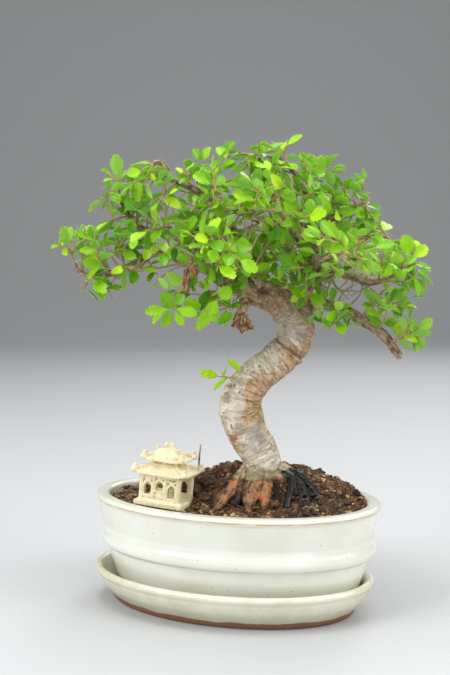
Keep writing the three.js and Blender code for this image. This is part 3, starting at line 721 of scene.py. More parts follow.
# Wood: every limb is a list of (x, y, z, radius) on its centre line, in the tree's own turn
WOOD = {
    "trunk": [
        (17, 2, 40, 15), (17, 1, 54, 14.5), (18, 0, 64, 13), (18, 0, 74, 11.2), (15, 0, 84, 10.4),
        (10, -1, 93, 11), (6, -2, 103, 12), (5, -3, 111, 11.6), (8, -3, 120, 10.2), (14, -2, 127, 9.4),
        (22, -1, 133, 9.2), (30, 0, 140, 9.3), (35, 1, 147, 9.2), (36, 2, 156, 9.4), (33, 3, 164, 10),
        (30, 3, 169, 8)],
    "left_arm": [
        (32, 3, 163, 8.5), (22, 2, 171, 7.5), (10, -3, 173, 6.4), (0, -8, 176, 4.6), (-10, -13, 182, 3.6),
        (-19, -16, 193, 3), (-28, -20, 201, 2.4), (-34, -23, 206, 1.8)],
    "stump": [
        (11, -2, 171, 4.5), (6, -5, 164, 4.2), (5, -6, 158, 3.9), (5.5, -7, 152.5, 5.6),
        (6.5, -6.5, 148, 4.4)],
    "dead_stub": [(-17, -16, 191, 2.2), (-21, -19, 186, 2.5), (-23, -21, 179, 2), (-23, -22, 172, 1.3)],
    "left_low": [
        (-9, -13, 182, 2.6), (-24, 0, 187, 2.4), (-40, 7, 193, 2.7), (-52, 6, 186, 2.9), (-66, 4, 181, 2),
        (-80, 2, 181, 1.5), (-85, 0, 187, 1.2)],
    "left_high": [
        (17, 2, 172, 4), (5, 10, 188, 3.2), (-14, 16, 200, 2.6), (-34, 18, 204, 2.3), (-48, 14, 205, 2.5),
        (-56, 10, 213, 1.8), (-61, 8, 223, 1.3)],
    "crown_left": [
        (20, 0, 172, 5), (11, -2, 188, 3.6), (2, -8, 203, 2.8), (-10, -12, 219, 2.4), (-22, -12, 227, 2),
        (-33, -10, 232, 1.6), (-37, -10, 240, 1.6), (-41, -12, 239, 1.2)],
    "crown": [
        (34, 3, 164, 8), (39, 6, 175, 6), (43, 8, 188, 4.8), (47, 8, 200, 4.2), (46, 8, 209, 3.6),
        (41, 6, 224, 2.4), (34, 4, 236, 1.8), (26, 2, 244, 1.2)],
    "cross": [(46, 8, 208, 2.8), (32, -2, 209, 2.2), (17, -14, 209, 2), (7, -24, 212, 1.6),
        (-3, -30, 217, 1.2)],
    "right_top": [(46, 8, 208, 2.8), (55, 12, 211, 2.3), (66, 16, 217, 1.8), (76, 14, 220, 1.2)],
    "right_mid": [
        (40, 5, 175, 4), (47, -6, 182, 3), (60, -14, 181, 2.3), (71, -16, 177, 2), (81, -16, 179, 1.6),
        (91, -14, 186, 1.2)],
    "right_low": [
        (34, 2, 160, 4.5), (48, -2, 165, 3.2), (62, -5, 161, 3.2), (73, -7, 155, 3.1), (82, -9, 148, 2.6),
        (90, -11, 137, 2.4)],
    "right_high": [(43, 8, 188, 3.4), (58, 16, 194, 2.4), (74, 24, 200, 1.8), (86, 26, 202, 1.2)],
    "back_left": [(19, 6, 170, 4), (6, 28, 184, 2.8), (-9, 48, 193, 2), (-23, 62, 199, 1.3)],
    "back_right": [(38, 6, 172, 4), (54, 28, 186, 2.6), (66, 42, 192, 1.8), (74, 52, 197, 1.2)],
    "back_up": [(43, 8, 188, 3.6), (40, 26, 203, 2.4), (33, 42, 217, 1.8), (24, 52, 227, 1.2)],
    "front_right": [(38, 2, 172, 3), (43, -20, 185, 1.9), (49, -38, 190, 1.5), (55, -50, 193, 1.1)],
    "front_left": [(17, 0, 172, 3), (11, -22, 184, 2), (4, -40, 191, 1.5), (-3, -52, 196, 1.1)],
    "front_up": [(43, 6, 188, 2.6), (35, -16, 200, 1.8), (26, -32, 211, 1.5), (18, -43, 219, 1.1)],
    "root_left": [(15, -2, 76, 7), (6, -8, 69, 6), (-4, -13, 61, 4.2), (-13, -17, 54, 2.6)],
    "root_front": [(17, -3, 72, 7.5), (16, -12, 63, 6.5), (18, -21, 56, 4.6), (20, -28, 50, 3)],
    "root_right": [(23, -2, 74, 6.5), (32, -6, 71, 4.6), (39, -9, 65, 4.2), (45, -12, 56, 3.2)],
    "root_back": [(19, 5, 73, 6.5), (22, 15, 68, 5), (27, 24, 60, 3)],
}
# Roots at the surface of the soil. With each name goes its tone, from 0 black to 1 orange red
SURFACE_ROOTS = {
    "root_orange": [
        (9, -6, 73.5, 4.8), (3.7, -12, 69.4, 3.9), (-1.5, -17, 64.3, 3), (-6.5, -21, 59.6, 2.4),
        (-10, -24, 55.5, 1.8)],
    "root_brown": [(8, -9, 74, 3), (5.8, -13.5, 70.5, 2.6), (4.8, -19, 65.3, 2.2), (2, -24, 60.4, 1.6)],
    "root_centre": [
        (14, -7, 74, 5.6), (12.2, -14.5, 70.5, 5), (10.7, -19.5, 65.5, 4.4), (9.5, -24, 61, 3),
        (9, -28, 56.5, 1.8)],
    "root_bright": [(18, -8, 72, 5), (18.5, -15, 67.5, 4), (17.8, -20.5, 63.5, 3), (17.4, -25, 59.5, 1.9)],
    "root_tan": [(24, -5, 74, 4.2), (26.4, -10, 70.5, 3.2), (27, -14, 67, 2.4), (26.4, -18, 63.5, 1.5)],
    "root_wet_1": [
        (26, -5, 74, 3), (29.5, -9, 73, 2.4), (32.4, -13, 72, 2.2), (31.4, -19, 67, 2.2),
        (29.6, -25, 61.5, 1.9),
        (29, -28, 57, 1.3)],
    "root_wet_2": [
        (27, -3, 74, 3), (32.3, -7, 74, 2.4), (37.1, -10, 73.2, 2.2), (41.7, -14, 69.4, 2),
        (45.6, -18, 65, 1.7),
        (49, -21, 59, 1.2)],
    "root_wet_3": [(33, -10, 72, 2), (36.1, -15, 69, 1.7), (36.4, -21, 64.6, 1.5), (36.5, -26, 59.7, 1.2)],
    "root_wet_4": [(34, -12, 72.4, 1.6), (38.5, -17, 69, 1.4), (40.5, -22, 64, 1.2), (41, -25, 59.5, 1)],
    "root_thin_1": [(24, 2, 68, 2.6), (34, 3, 68.5, 2), (44, 2, 65.5, 1.5), (53, -2, 60, 1.1)],
    "root_thin_2": [(12, 0, 68, 2.6), (1, 1, 68, 2.2), (-9, -1, 65, 1.7), (-17, -4, 60, 1.1)],
    "root_thin_3": [(16, 6, 68, 2.6), (10, 17, 69, 2.2), (5, 27, 64.5, 1.6), (2, 35, 59, 1)],
    "root_thin_4": [(24, 5, 68, 2.6), (35, 12, 69, 2.1), (45, 18, 65.5, 1.6), (53, 23, 60, 1)],
}
ROOT_TONES = {
    "root_orange": 0.58, "root_brown": 0.34, "root_centre": 0.54, "root_bright": 0.54, "root_tan": 0.56,
    "root_wet": -0.4, "root_thin": 0.34, "root_left": 0.45, "root_front": 0.4, "root_right": 0.25,
    "root_back": 0.4,
}
# Broken wood at the end of the dead stump and of the dead stub
SPLINTERS = {
    "splinter_1": [(5.5, -7, 158, 2.5), (3, -8, 155, 2.1), (1, -9, 153.8, 1.4), (-0.3, -9.5, 153.6, 0.7)],
    "splinter_2": [(6, -7, 158, 2.6), (6, -8.5, 153, 2.3), (5.5, -9.5, 149.8, 1)],
    "splinter_3": [(6, -6, 158, 2.6), (8.5, -6, 155, 2.4), (10.4, -6.5, 152.8, 1.7), (12, -6.5, 152, 0.8)],
    "splinter_4": [(4.5, -5, 161, 2), (2.5, -6, 158, 1.4), (1, -7, 156.6, 0.7)],
    "splinter_5": [(6, -5, 156, 2.4), (8, -3.5, 151.8, 1.8), (8.5, -3, 149.8, 0.8)],
    "splinter_6": [(-21, -19, 187, 1.8), (-18.5, -20, 182, 1.2), (-18, -20.5, 179, 0.6)],
    "splinter_7": [(-22, -20, 182, 1.6), (-25, -20.5, 177, 1.2), (-26.5, -20, 175.5, 0.6)],
}
DEAD_LIMBS = ("stump", "dead_stub", *SPLINTERS)
# Thicker wood under the arch and on the outside of the upper bend
FILLS = {
    "arch": [(10, 1, 168.5, 4), (16, 2, 167.2, 4.8), (23.3, 2, 163.7, 5), (28.2, 2, 157.2, 5),
        (31, 2, 150.7, 5)],
    "bend": [(9.2, -3, 119.6, 10), (15.1, -2, 126.3, 9.3), (23.1, -1, 132.2, 9.1), (31.1, 0, 139.3, 9.2),
             (35.9, 1, 146.6, 9.1)],
}


def curve_point(corners, share):
    """The smooth line through the corners at a share of the way, each stretch taking the same share."""
    last = len(corners) - 1
    place = last * share
    i = math.floor(place)
    weight = place - i
    if weight == 0 and i == last:
        i, weight = last - 1, 1.0
    p1, p2 = corners[i], corners[i + 1]
    p0 = corners[i - 1] if i > 0 else (corners[0] - corners[1]) + corners[0]
    p3 = corners[i + 2] if i + 2 <= last else (corners[last] - corners[last - 1]) + corners[last]
    start, end = 0.5 * (p2 - p0), 0.5 * (p3 - p1)
    square = weight * weight
    return (p1 + start * weight + (-3 * p1 + 3 * p2 - 2 * start - end) * square
            + (2 * p1 - 2 * p2 + start + end) * square * weight)


def along(line, place):
    """Point and radius at a place on the line: 0 is its first point, 1 its second, and so on."""
    last = len(line) - 1
    before = min(math.floor(place), last - 1)
    share = place - before
    radius = line[before][3] * (1 - share) + line[before + 1][3] * share
    corners = [np.array(p[:3], float) for p in line]
    return curve_point(corners, place / last), radius


def tangent(line, place):
    """The direction of the line at a place."""
    corners = [np.array(p[:3], float) for p in line]
    share = place / (len(line) - 1)
    step = curve_point(corners, min(share + 0.0001, 1)) - curve_point(corners, max(share - 0.0001, 0))
    return step / np.linalg.norm(step)


# Leaf rule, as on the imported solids: it gives the same leaves in the same places
BLADE = [(0.3, 0.84), (0.47, 0.76), (0.66, 0.98)]
BLADE_FOLD = 0.3
BLADE_DROOP = 0.12
LEAF_LENGTH = (9.5, 13)
LEAF_WIDTH_SHARE = 0.6
LEAF_UPWARD = 0.7
LEAF_OUTWARD = 0.45
LEAF_SCATTER = 1.6
TWIG_RADIUS = (1, 0.65)
GAP = 0.3
TRIES = 40
BLADES_APART = 1.0
BLADES_BESIDE = 0.7
WOOD_APART = 0.75
EDGE_PLACES = [0, *[u for u, _ in BLADE], 1]
EDGE_WIDTHS = [0, *[w for _, w in BLADE], 0]
SAMPLE_SHARES = np.array([-1, -0.5, 0, 0.5, 1])


def half_width_at(length, u):
    share = np.clip(u / length, 0, 1)
    return length * LEAF_WIDTH_SHARE / 2 * np.interp(share, EDGE_PLACES, EDGE_WIDTHS)


def blade_height(length, u, v):
    return BLADE_FOLD * np.abs(v) - BLADE_DROOP * length * (u / length) ** 2


def distance_to_blades(leaves, points):
    """How far points lie outside each blade's outline, and how far above or below it. Leaves has one
    row for each blade, and points is (blades or 1, points, 3)."""
    offset = points - leaves["base"][:, None]
    u = np.einsum("lpk,lk->lp", offset, leaves["along"])
    v = np.einsum("lpk,lk->lp", offset, leaves["across"])
    height = np.einsum("lpk,lk->lp", offset, leaves["normal"])
    length = leaves["length"][:, None]
    beyond = np.maximum(np.maximum(-u, u - length), 0)
    width = half_width_at(length, u)
    beside = np.maximum(np.abs(v) - width, 0)
    above = np.abs(height - blade_height(length, np.clip(u, 0, length), np.minimum(np.abs(v), width)))
    return np.hypot(beyond, beside), above


def blade_samples(leaf):
    u = leaf["length"] * np.arange(9) / 8
    v = SAMPLE_SHARES * half_width_at(leaf["length"], u)[:, None]
    u = np.repeat(u[:, None], 5, axis=1)
    height = blade_height(leaf["length"], u, v)
    return (leaf["base"] + u[..., None] * leaf["along"] + v[..., None] * leaf["across"]
            + height[..., None] * leaf["normal"]).reshape(-1, 3)


class Garden:
    """The blades and the wood that stand so far, kept as arrays for the tests of room."""

    def __init__(self):
        self.leaves = []
        self.room = {key: np.zeros((0, 3)) for key in ("base", "along", "across", "normal")}
        self.room["length"] = np.zeros(0)
        self.samples = np.zeros((0, 45, 3))
        self.ball_points = np.zeros((0, 3))
        self.ball_radii = np.zeros(0)
        self.ball_owners = np.zeros(0, int)
        self.owners = {}

    def owner(self, name):
        return self.owners.setdefault(name, len(self.owners))

    def add_wood(self, line, name, spacing):
        count = (len(line) - 1) * spacing
        found = [along(line, i / spacing) for i in range(count + 1)]
        self.ball_points = np.vstack([self.ball_points, [point for point, _ in found]])
        self.ball_radii = np.append(self.ball_radii, [radius for _, radius in found])
        self.ball_owners = np.append(self.ball_owners, np.full(len(found), self.owner(name)))

    def add_leaf(self, leaf):
        self.leaves.append(leaf)
        for key in self.room:
            self.room[key] = np.append(self.room[key], [leaf[key]], axis=0)
        self.samples = np.append(self.samples, [leaf["samples"]], axis=0)

    def wood_clear(self, leaf, apart):
        near = np.linalg.norm(self.ball_points - leaf["base"], axis=1) <= leaf["length"] + self.ball_radii + 2
        near &= self.ball_owners != self.owner(leaf["owner"])
        if not near.any():
            return True
        outside, above = distance_to_blades(one_row(leaf), self.ball_points[near][None])
        return not (np.hypot(outside, above)[0] < self.ball_radii[near] + apart).any()

    def blades_clear(self, leaf, beside, apart):
        far = np.linalg.norm(self.room["base"] - leaf["base"], axis=1)
        near = far <= leaf["length"] + self.room["length"] + 2
        if not near.any():
            return True
        others = {key: value[near] for key, value in self.room.items()}
        outside, above = distance_to_blades(others, leaf["samples"][None])
        if ((outside < beside) & (above < apart)).any():
            return False
        outside, above = distance_to_blades(one_row(leaf), self.samples[near].reshape(1, -1, 3))
        return not ((outside < beside) & (above < apart)).any()


def one_row(leaf):
    return {key: np.array([leaf[key]]) for key in ("base", "along", "across", "normal", "length")}


def make_draw(seed):
    """The same stream of draws from 0 to 1 for the same seed."""
    state = seed

    def draw():
        nonlocal state
        state = (state * 16807) % 2147483647
        return state / 2147483647
    return draw


def make_later_draw(seed):
    """The same stream as from make_draw, from its second draw on."""
    draw = make_draw(seed)
    draw()
    return draw


def centred_draws(draw):
    return np.array([draw(), draw(), draw()]) - 0.5


def new_leaf(base, direction, facing, length, **other):
    """A blade from its base that looks as nearly as it can the way it faces."""
    normal = unit(facing - direction * facing.dot(direction))
    leaf = {"base": base, "along": direction, "across": np.cross(normal, direction), "normal": normal,
            "length": length, **other}
    leaf["samples"] = blade_samples(leaf)
    return leaf


def draw_leaf(twig, place, side, draw, owner, lengths=LEAF_LENGTH, scatter=LEAF_SCATTER):
    """One blade: it leaves the twig to its side, and faces up and out of the canopy."""
    base = along(twig, place)[0]
    forward = unit(along(twig, len(twig) - 1)[0] - along(twig, 0)[0])
    outward = unit(base - CANOPY_MIDDLE)
    facing = unit(centred_draws(draw) * scatter + UP * LEAF_UPWARD + outward * LEAF_OUTWARD)
    sideways = unit(np.cross(facing, forward))
    spread = math.radians(30 * (draw() - 0.5) if side == 0 else side * (45 + 30 * draw()))
    pitch = 0.5 * (draw() - 0.5)
    direction = unit(forward * math.cos(spread) + sideways * math.sin(spread) + facing * pitch)
    length = lengths[0] + (lengths[1] - lengths[0]) * draw()
    return new_leaf(base, direction, facing, length, owner=owner)


def leaf_places(count, start, span, end):
    """Places and sides of a twig's leaves: left and right in turn, and one at the end."""
    for i in range(count - 1):
        yield start + span * i / (count - 1), (-1) ** i
    yield end, 0


# Leafy stems: limb, place on the limb, leaves on each twig, and the tips. The first twig grows from
# the limb, the others fork from its middle.
SPRAYS = [
    ("left_low", 6, 4, (-87, -3, 196), (-80, 9, 201)),
    ("left_low", 4.9, 4, (-73, -8, 178)),
    ("left_low", 4, 4, (-70, -15, 191)),
    ("left_low", 3.4, 5, (-60, -12, 199)),
    ("left_low", 2.6, 4, (-51, -7, 183)),
    ("left_high", 6, 4, (-61, 4, 233), (-70, 2, 221)),
    ("left_high", 5, 4, (-65, -8, 209)),
    ("left_high", 4.4, 4, (-49, -5, 216)),
    ("left_high", 3.6, 4, (-48, 8, 229)),
    ("crown_left", 5.2, 4, (-48, -22, 229)),
    ("crown_left", 4.6, 4, (-37, -29, 218)),
    ("left_arm", 7, 4, (-43, -35, 203)),
    ("left_arm", 5.6, 4, (-30, -38, 194)),
    ("left_arm", 5, 4, (-20, -37, 207)),
    ("left_arm", 4.4, 6, (-35, -24, 163)),
    ("left_arm", 3.6, 4, (-9, -20, 166)),
    ("stump", 0.8, 3, (-5, -18, 163)),
    ("left_arm", 3.9, 4, (-10, -39, 187)),
    ("crown_left", 4, 5, (-21, -23, 234)),
    ("crown_left", 3.2, 4, (-7, -23, 238)),
    ("crown_left", 2.6, 4, (-28, 6, 220)),
    ("crown", 7, 5, (6, -4, 245)),
    ("crown", 6.6, 5, (29, 2, 249)),
    ("crown", 6.2, 4, (18, -19, 237)),
    ("crown", 5.6, 4, (40, -14, 239)),
    ("crown", 5.2, 5, (50, 10, 239)),
    ("right_top", 2.4, 4, (61, 12, 228)),
    ("right_top", 1.6, 4, (51, -9, 222)),
    ("right_top", 3, 4, (71, 4, 217)),
    ("right_high", 3, 4, (93, 20, 196), (82, 28, 210)),
    ("cross", 4, 4, (-9, -38, 224), (-12, -44, 212)),
    ("cross", 2.6, 4, (13, -42, 222)),
    ("right_mid", 5, 4, (94, -8, 192), (95, -20, 180)),
    ("right_mid", 3.6, 4, (76, -37, 192)),
    ("right_mid", 2, 4, (54, -38, 187)),
    ("right_mid", 1.2, 5, (38, -28, 168)),
    ("right_low", 4.4, 6, (98, -18, 153)),
    ("right_low", 3.2, 4, (82, -24, 168)),
    ("right_low", 1.4, 5, (56, -24, 155)),
    ("front_right", 3, 4, (63, -62, 189), (50, -64, 199)),
    ("front_left", 3, 4, (-11, -64, 199), (4, -66, 189)),
    ("front_up", 3, 4, (11, -57, 224)),
    ("front_up", 1.7, 4, (38, -50, 210)),
    ("back_left", 3, 4, (-34, 72, 206), (-20, 76, 198)),
    ("back_left", 1.9, 4, (-26, 44, 180)),
    ("back_right", 3, 4, (84, 60, 204), (71, 68, 197)),
    ("back_right", 1.8, 4, (80, 34, 181)),
    ("back_up", 3, 4, (16, 62, 236), (32, 64, 232)),
    ("back_up", 1.8, 4, (56, 46, 221)),
    ("left_high", 2.4, 4, (-26, 38, 212)),
    ("crown", 1.7, 4, (28, -24, 199), (20, -26, 187)),
    ("trunk", 8.6, 5, (-6, -14, 127)),
]
TRUNK_SPRIG = len(SPRAYS) - 1


def twig_line(root, tip):
    return [(*root, TWIG_RADIUS[0]), (*tip, TWIG_RADIUS[1])]


def twig_start(line, place, tip):
    """Where a twig bound for the tip leaves the limb: its flat end just clears the side or the end."""
    last = len(line) - 1
    point, radius = along(line, place)
    direction = unit(tip - point)
    cos = abs(direction.dot(tangent(line, place)))
    sin = math.sqrt(1 - cos * cos)
    through_side = (radius + GAP + TWIG_RADIUS[0] * cos) / sin
    through_end = (GAP + TWIG_RADIUS[0] * sin) / cos
    reach = min(through_side, through_end) if place == last else through_side
    return point + direction * reach


def twigs_of(spray):
    limb, place, _, *tips = spray
    tips = [np.array(tip, float) for tip in tips]
    main = twig_line(twig_start(WOOD[limb], place, tips[0]), tips[0])
    if len(tips) == 1:
        return [main]
    return [main, twig_line(along(main, 0.5)[0], tips[1])]


def grow_first_leaves(garden, twigs):
    """Fills each twig with blades that are all clear of each other."""
    for number, spray in enumerate(SPRAYS):
        draw = make_draw(4001 + 271 * number)
        for part, twig in enumerate(twigs[number]):
            for place, side in leaf_places(spray[2], 0.35, 0.58, 0.98):
                for _ in range(TRIES):
                    leaf = draw_leaf(twig, place, side, draw, f"{number}.{part}")
                    clear = garden.wood_clear(leaf, WOOD_APART)
                    if clear and garden.blades_clear(leaf, BLADES_BESIDE, BLADES_APART):
                        leaf["spray"] = number
                        garden.add_leaf(leaf)
                        break


# Fine growth: more twigs and smaller leaves between the first ones
MORE_LENGTH = (6.0, 11.5)
MORE_BESIDE = 0.35
MORE_APART = 0.55
MORE_WOOD_APART = 0.35
MORE_SCATTER = 2.1
TIP_SAMPLES = [22, 42]      # the middle and the tip of a blade, among its samples
TWIG_STEPS = 8
TWIG_FROM_BLADES = 0.75
TWIG_FROM_WOOD = 0.8
BLADES_NEAR = 26.0          # blades that grow farther off don't reach a twig
FIRST_TWIG_INSIDE = 1.2     # how far a first twig starts inside its limb
REACH_FROM_FIRST = 8.0
CORE_MIDDLE = np.array([24.0, 3.0, 206.0])     # the crowded heart of the canopy, an egg shape
CORE_RADII = np.array([62.0, 46.0, 33.0])
OPEN_LEFT = -15.0      # beyond here the foliage is looser
OPEN_SHARE = 0.42
FIRST_TWIG_RADII = (0.62, 0.38)
SIDE_TWIG_RADII = (0.42, 0.26)
SHOOT_RADII = (0.7, 0.35)
CLEAR_OF_BOX = 0.5
# Open places in the foliage as seen from the front, on the plane y = 0: x, z, half width, half height
OPEN_PLACES = np.array([
    (-29.8, 178.4, 6, 8.2), (85.9, 206.3, 9.3, 7.6), (-74, 212.8, 9.8, 4.4), (-82, 197.8, 6, 2.7),
    (32.5, 246.7, 4.9, 2.7), (-50.9, 175.2, 4.9, 3.8), (-3.9, 156.2, 8.7, 6.5), (55.8, 146.5, 4.4, 4.9),
    (61.5, 244, 8.2, 5.5), (78.5, 224, 4.9, 6.5), (-49.3, 245.2, 7.6, 2.2),
])


class Growth:
    """Adds twigs and leaves that stay clear of all that stands, inside the first leaves' reach."""

    def __init__(self, garden, box):
        self.garden = garden
        self.first = garden.samples.reshape(-1, 3)[::3]
        self.low = np.array(box[0]) / MM + CLEAR_OF_BOX
        self.high = np.array(box[1]) / MM - CLEAR_OF_BOX
        self.twigs = []

    def inside(self, points):
        placed = turned(points)
        if (placed < self.low).any() or (placed > self.high).any():
            return False
        away = points - CAMERA_IN_TREE_TURN
        seen = (CAMERA_IN_TREE_TURN - away * (CAMERA_IN_TREE_TURN[1] / away[:, 1])[:, None])[:, None, ::2]
        if (np.linalg.norm((seen - OPEN_PLACES[:, :2]) / OPEN_PLACES[:, 2:], axis=2) < 1).any():
            return False
        apart = np.linalg.norm(self.first[None] - points[:, None], axis=2).min(axis=1)
        in_core = np.linalg.norm((points - CORE_MIDDLE) / CORE_RADII, axis=1) < 1
        return bool(((apart < REACH_FROM_FIRST) | in_core).all())


    def twig_clear(self, line, owners):
        shares = [i / TWIG_STEPS for i in range(2, TWIG_STEPS + 1)]
        points = np.array([along(line, share * (len(line) - 1))[0] for share in shares])
        near = np.linalg.norm(self.garden.room["base"] - points[3], axis=1) < BLADES_NEAR
        if near.any():
            others = {key: value[near] for key, value in self.garden.room.items()}
            outside, above = distance_to_blades(others, points[None])
            if (np.hypot(outside, above) < TWIG_FROM_BLADES).any():
                return False
        wood = ~np.isin(self.garden.ball_owners, owners)
        apart = np.linalg.norm(self.garden.ball_points[wood][None] - points[:, None], axis=2)
        return bool((apart - self.garden.ball_radii[wood][None] > TWIG_FROM_WOOD).all())

    def add_twig(self, line, name, group, bare=False):
        self.garden.add_wood(line, name, 12)
        self.twigs.append({"line": line, "group": group, "bare": bare})

    def try_twig(self, line, name, parent, group, bare=False):
        """Adds the twig if it has room beside all but the wood that it grows from."""
        known = [self.garden.owner(parent), self.garden.owner(name)]
        found = self.inside(np.array([line[-1][:3]])) and self.twig_clear(line, known)
        if found:
            self.add_twig(line, name, group, bare)
        return found

    def clear(self, leaf):
        if not self.garden.wood_clear(leaf, MORE_WOOD_APART):
            return False
        return self.garden.blades_clear(leaf, MORE_BESIDE, MORE_APART)

    def add_leaves(self, line, name, count, draw, group, start=0.3, lengths=MORE_LENGTH, tries=14):
        for place, side in leaf_places(count, start, 0.93 - start, 0.97):
            place *= len(line) - 1
            if along(line, place)[0][0] < OPEN_LEFT and draw() < OPEN_SHARE:
                continue
            for _ in range(tries):
                leaf = draw_leaf(line, place, side, draw, name, lengths, MORE_SCATTER)
                if self.inside(leaf["samples"][TIP_SAMPLES]) and self.clear(leaf):
                    leaf["spray"] = group
                    self.garden.add_leaf(leaf)
                    break


def random_direction(draw):
    while True:
        trial = centred_draws(draw)
        length = np.linalg.norm(trial)
        if 0.05 < length < 0.5:
            return trial / length


def fork_from(line, place, draw, length, radii, lift=0.35, ahead=0.55):
    """A bent twig that leaves the line at a place."""
    root = along(line, place)[0]
    forward = tangent(line, place)
    side = random_direction(draw)
    side = unit(side - forward * side.dot(forward))
    heading = unit(forward * ahead + side + UP * lift)
    bend = unit(heading + 0.35 * random_direction(draw) + UP * 0.2)
    middle = root + heading * length * 0.5
    tip = middle + bend * length * 0.5
    between = (radii[0] + radii[1]) / 2
    return [(*root, radii[0]), (*middle, between), (*tip, radii[1])]


def length_of(line):
    return sum(math.dist(a[:3], b[:3]) for a, b in zip(line, line[1:]))


def grow_side_twigs(growth, number, twigs):
    draw = make_draw(60001 + 379 * number)
    for part, twig in enumerate(twigs):
        owner = f"{number}.{part}"
        growth.add_leaves(twig, owner, 4, draw, number, start=0.25, lengths=(6.0, 10.5), tries=8)
        for fork in range(4):
            name = f"{owner}.{fork}"
            for _ in range(8):
                length = 8 + 9 * draw()
                place = 0.15 + 0.7 * draw()
                line = fork_from(twig, place, draw, length, SIDE_TWIG_RADII)
                if growth.try_twig(line, name, owner, number):
                    growth.add_leaves(line, name, 4, draw, number)
                    break


LIMBS_WITH_SHOOTS = [
    name for name in WOOD if name not in ("trunk", "stump", "dead_stub") and not name.startswith("root")
]
SHOOT_STEP = 4.6      # one shoot for each such stretch of a limb
THICKEST_WITH_SHOOTS = 5.2
BARE_SHARE = 0.28


def grow_shoots(growth):
    """Leafy shoots and bare twigs along the thin limbs."""
    for order, limb in enumerate(LIMBS_WITH_SHOOTS):
        line = WOOD[limb]
        draw = make_draw(90001 + 733 * order)
        last = len(line) - 1
        stretch = length_of(line)
        for step in range(int(stretch / SHOOT_STEP)):
            name = f"{limb}.{step}"
            place = last * (step + draw()) * SHOOT_STEP / stretch
            radius = along(line, min(place, last))[1]
            if place > last or radius > THICKEST_WITH_SHOOTS:
                continue
            bare = draw() < BARE_SHARE
            for _ in range(10):
                length = radius + (18 + 12 * draw() if bare else 10 + 14 * draw())
                shoot = fork_from(line, place, draw, length, SHOOT_RADII, lift=0.45, ahead=0.4)
                if growth.try_twig(shoot, name, "wood", limb, bare):
                    if not bare:
                        growth.add_leaves(shoot, name, 5, draw, limb, start=0.4)
                    break


# Leaves that stand apart: base, tip, the way they face, half the width, and the spray they join
CLEAR_LEAVES = [
    ((-30.9, -37, 164.2), (-43.3, -39, 163.3), (0.1, -1, 0.45), 2.7, 14),
    ((-30.4, -37, 166), (-34.2, -40, 172.6), (0, -1, 0.4), 3.2, 14),
    ((-28.7, -37, 166.2), (-24.2, -40, 171.6), (-0.1, -1, 0.4), 2.6, 14),
    ((-27.9, -37, 164.4), (-17.7, -39, 160.9), (0, -1, 0.3), 2.9, 14),
    ((-28.4, -37, 163.1), (-25.2, -41, 156.3), (0.1, -1, 0.2), 2.4, 14),
    ((-30.4, -37, 163.1), (-35.7, -41, 156.3), (0.2, -1, 0.2), 2.8, 14),
    ((-8.3, -29, 166.8), (-16.9, -33, 153.2), (0.3, -1, 0.2), 3.0, 15),
    ((-5.7, -29, 168.3), (-0.6, -31, 175), (0, -1, 0.3), 3.6, 15),
    ((-7.2, -31, 169), (-11.3, -34, 161.5), (0.1, -1, 0.2), 3.0, 15),
    ((1, -22, 161.8), (-5.8, -27, 155.4), (-0.1, -1, 0.3), 2.8, 15),
    ((18.1, 0, 246.2), (28.1, -1, 250.8), (-0.3, -0.75, 0.6), 2.5, 22),
    ((29.6, -0.5, 249.6), (37.6, -2, 254.9), (-0.25, -0.7, 0.7), 2.3, 22),
    ((93.7, -12, 190.3), (91.6, -14, 201.8), (0.1, -1, 0.2), 3.8, 32),
    ((95.3, -12, 189.6), (102.6, -14, 196), (0, -1, 0.5), 3.4, 32),
    ((95.4, -13, 187), (104.4, -17, 186), (0.1, -0.5, 0.9), 2.6, 32),
    ((94.9, -13.5, 183.5), (104, -17, 173.6), (0.4, -0.8, 0.4), 3.2, 32),
    ((-5.2, -5, 245.4), (0.6, -6, 251), (-0.3, -0.8, 0.5), 2, 21),
    ((-14.9, -5, 241), (-11.5, -7, 248), (-0.2, -0.8, 0.5), 2.6, 21),
    ((-15.6, -5.4, 240.6), (-19.5, -8, 247), (0.2, -0.8, 0.5), 2.6, 21),
    ((5.4, -9.5, 129.8), (-1.3, -11, 136), (-0.2, -0.8, 0.5), 2.2, TRUNK_SPRIG),
]


# The thin twigs that carry them: spray, share of its first twig, tip
CLEAR_TWIGS = [
    (14, 0.55, (-29.6, -36.4, 164.8)), (15, 0.6, (-6.8, -28.6, 168)), (15, 0.9, (0.8, -21.6, 162)),
    (22, 0.3, (18.1, 0.2, 246)), (22, 0.6, (29.3, 0, 249.2)), (32, 0.6, (94.8, -12.4, 188)),
    (21, 0.9, (-5, -4.8, 245.2)), (21, 0.8, (-15, -4.8, 240.6)),
    (TRUNK_SPRIG, 0.15, (5.2, -9.8, 129.9)),
]


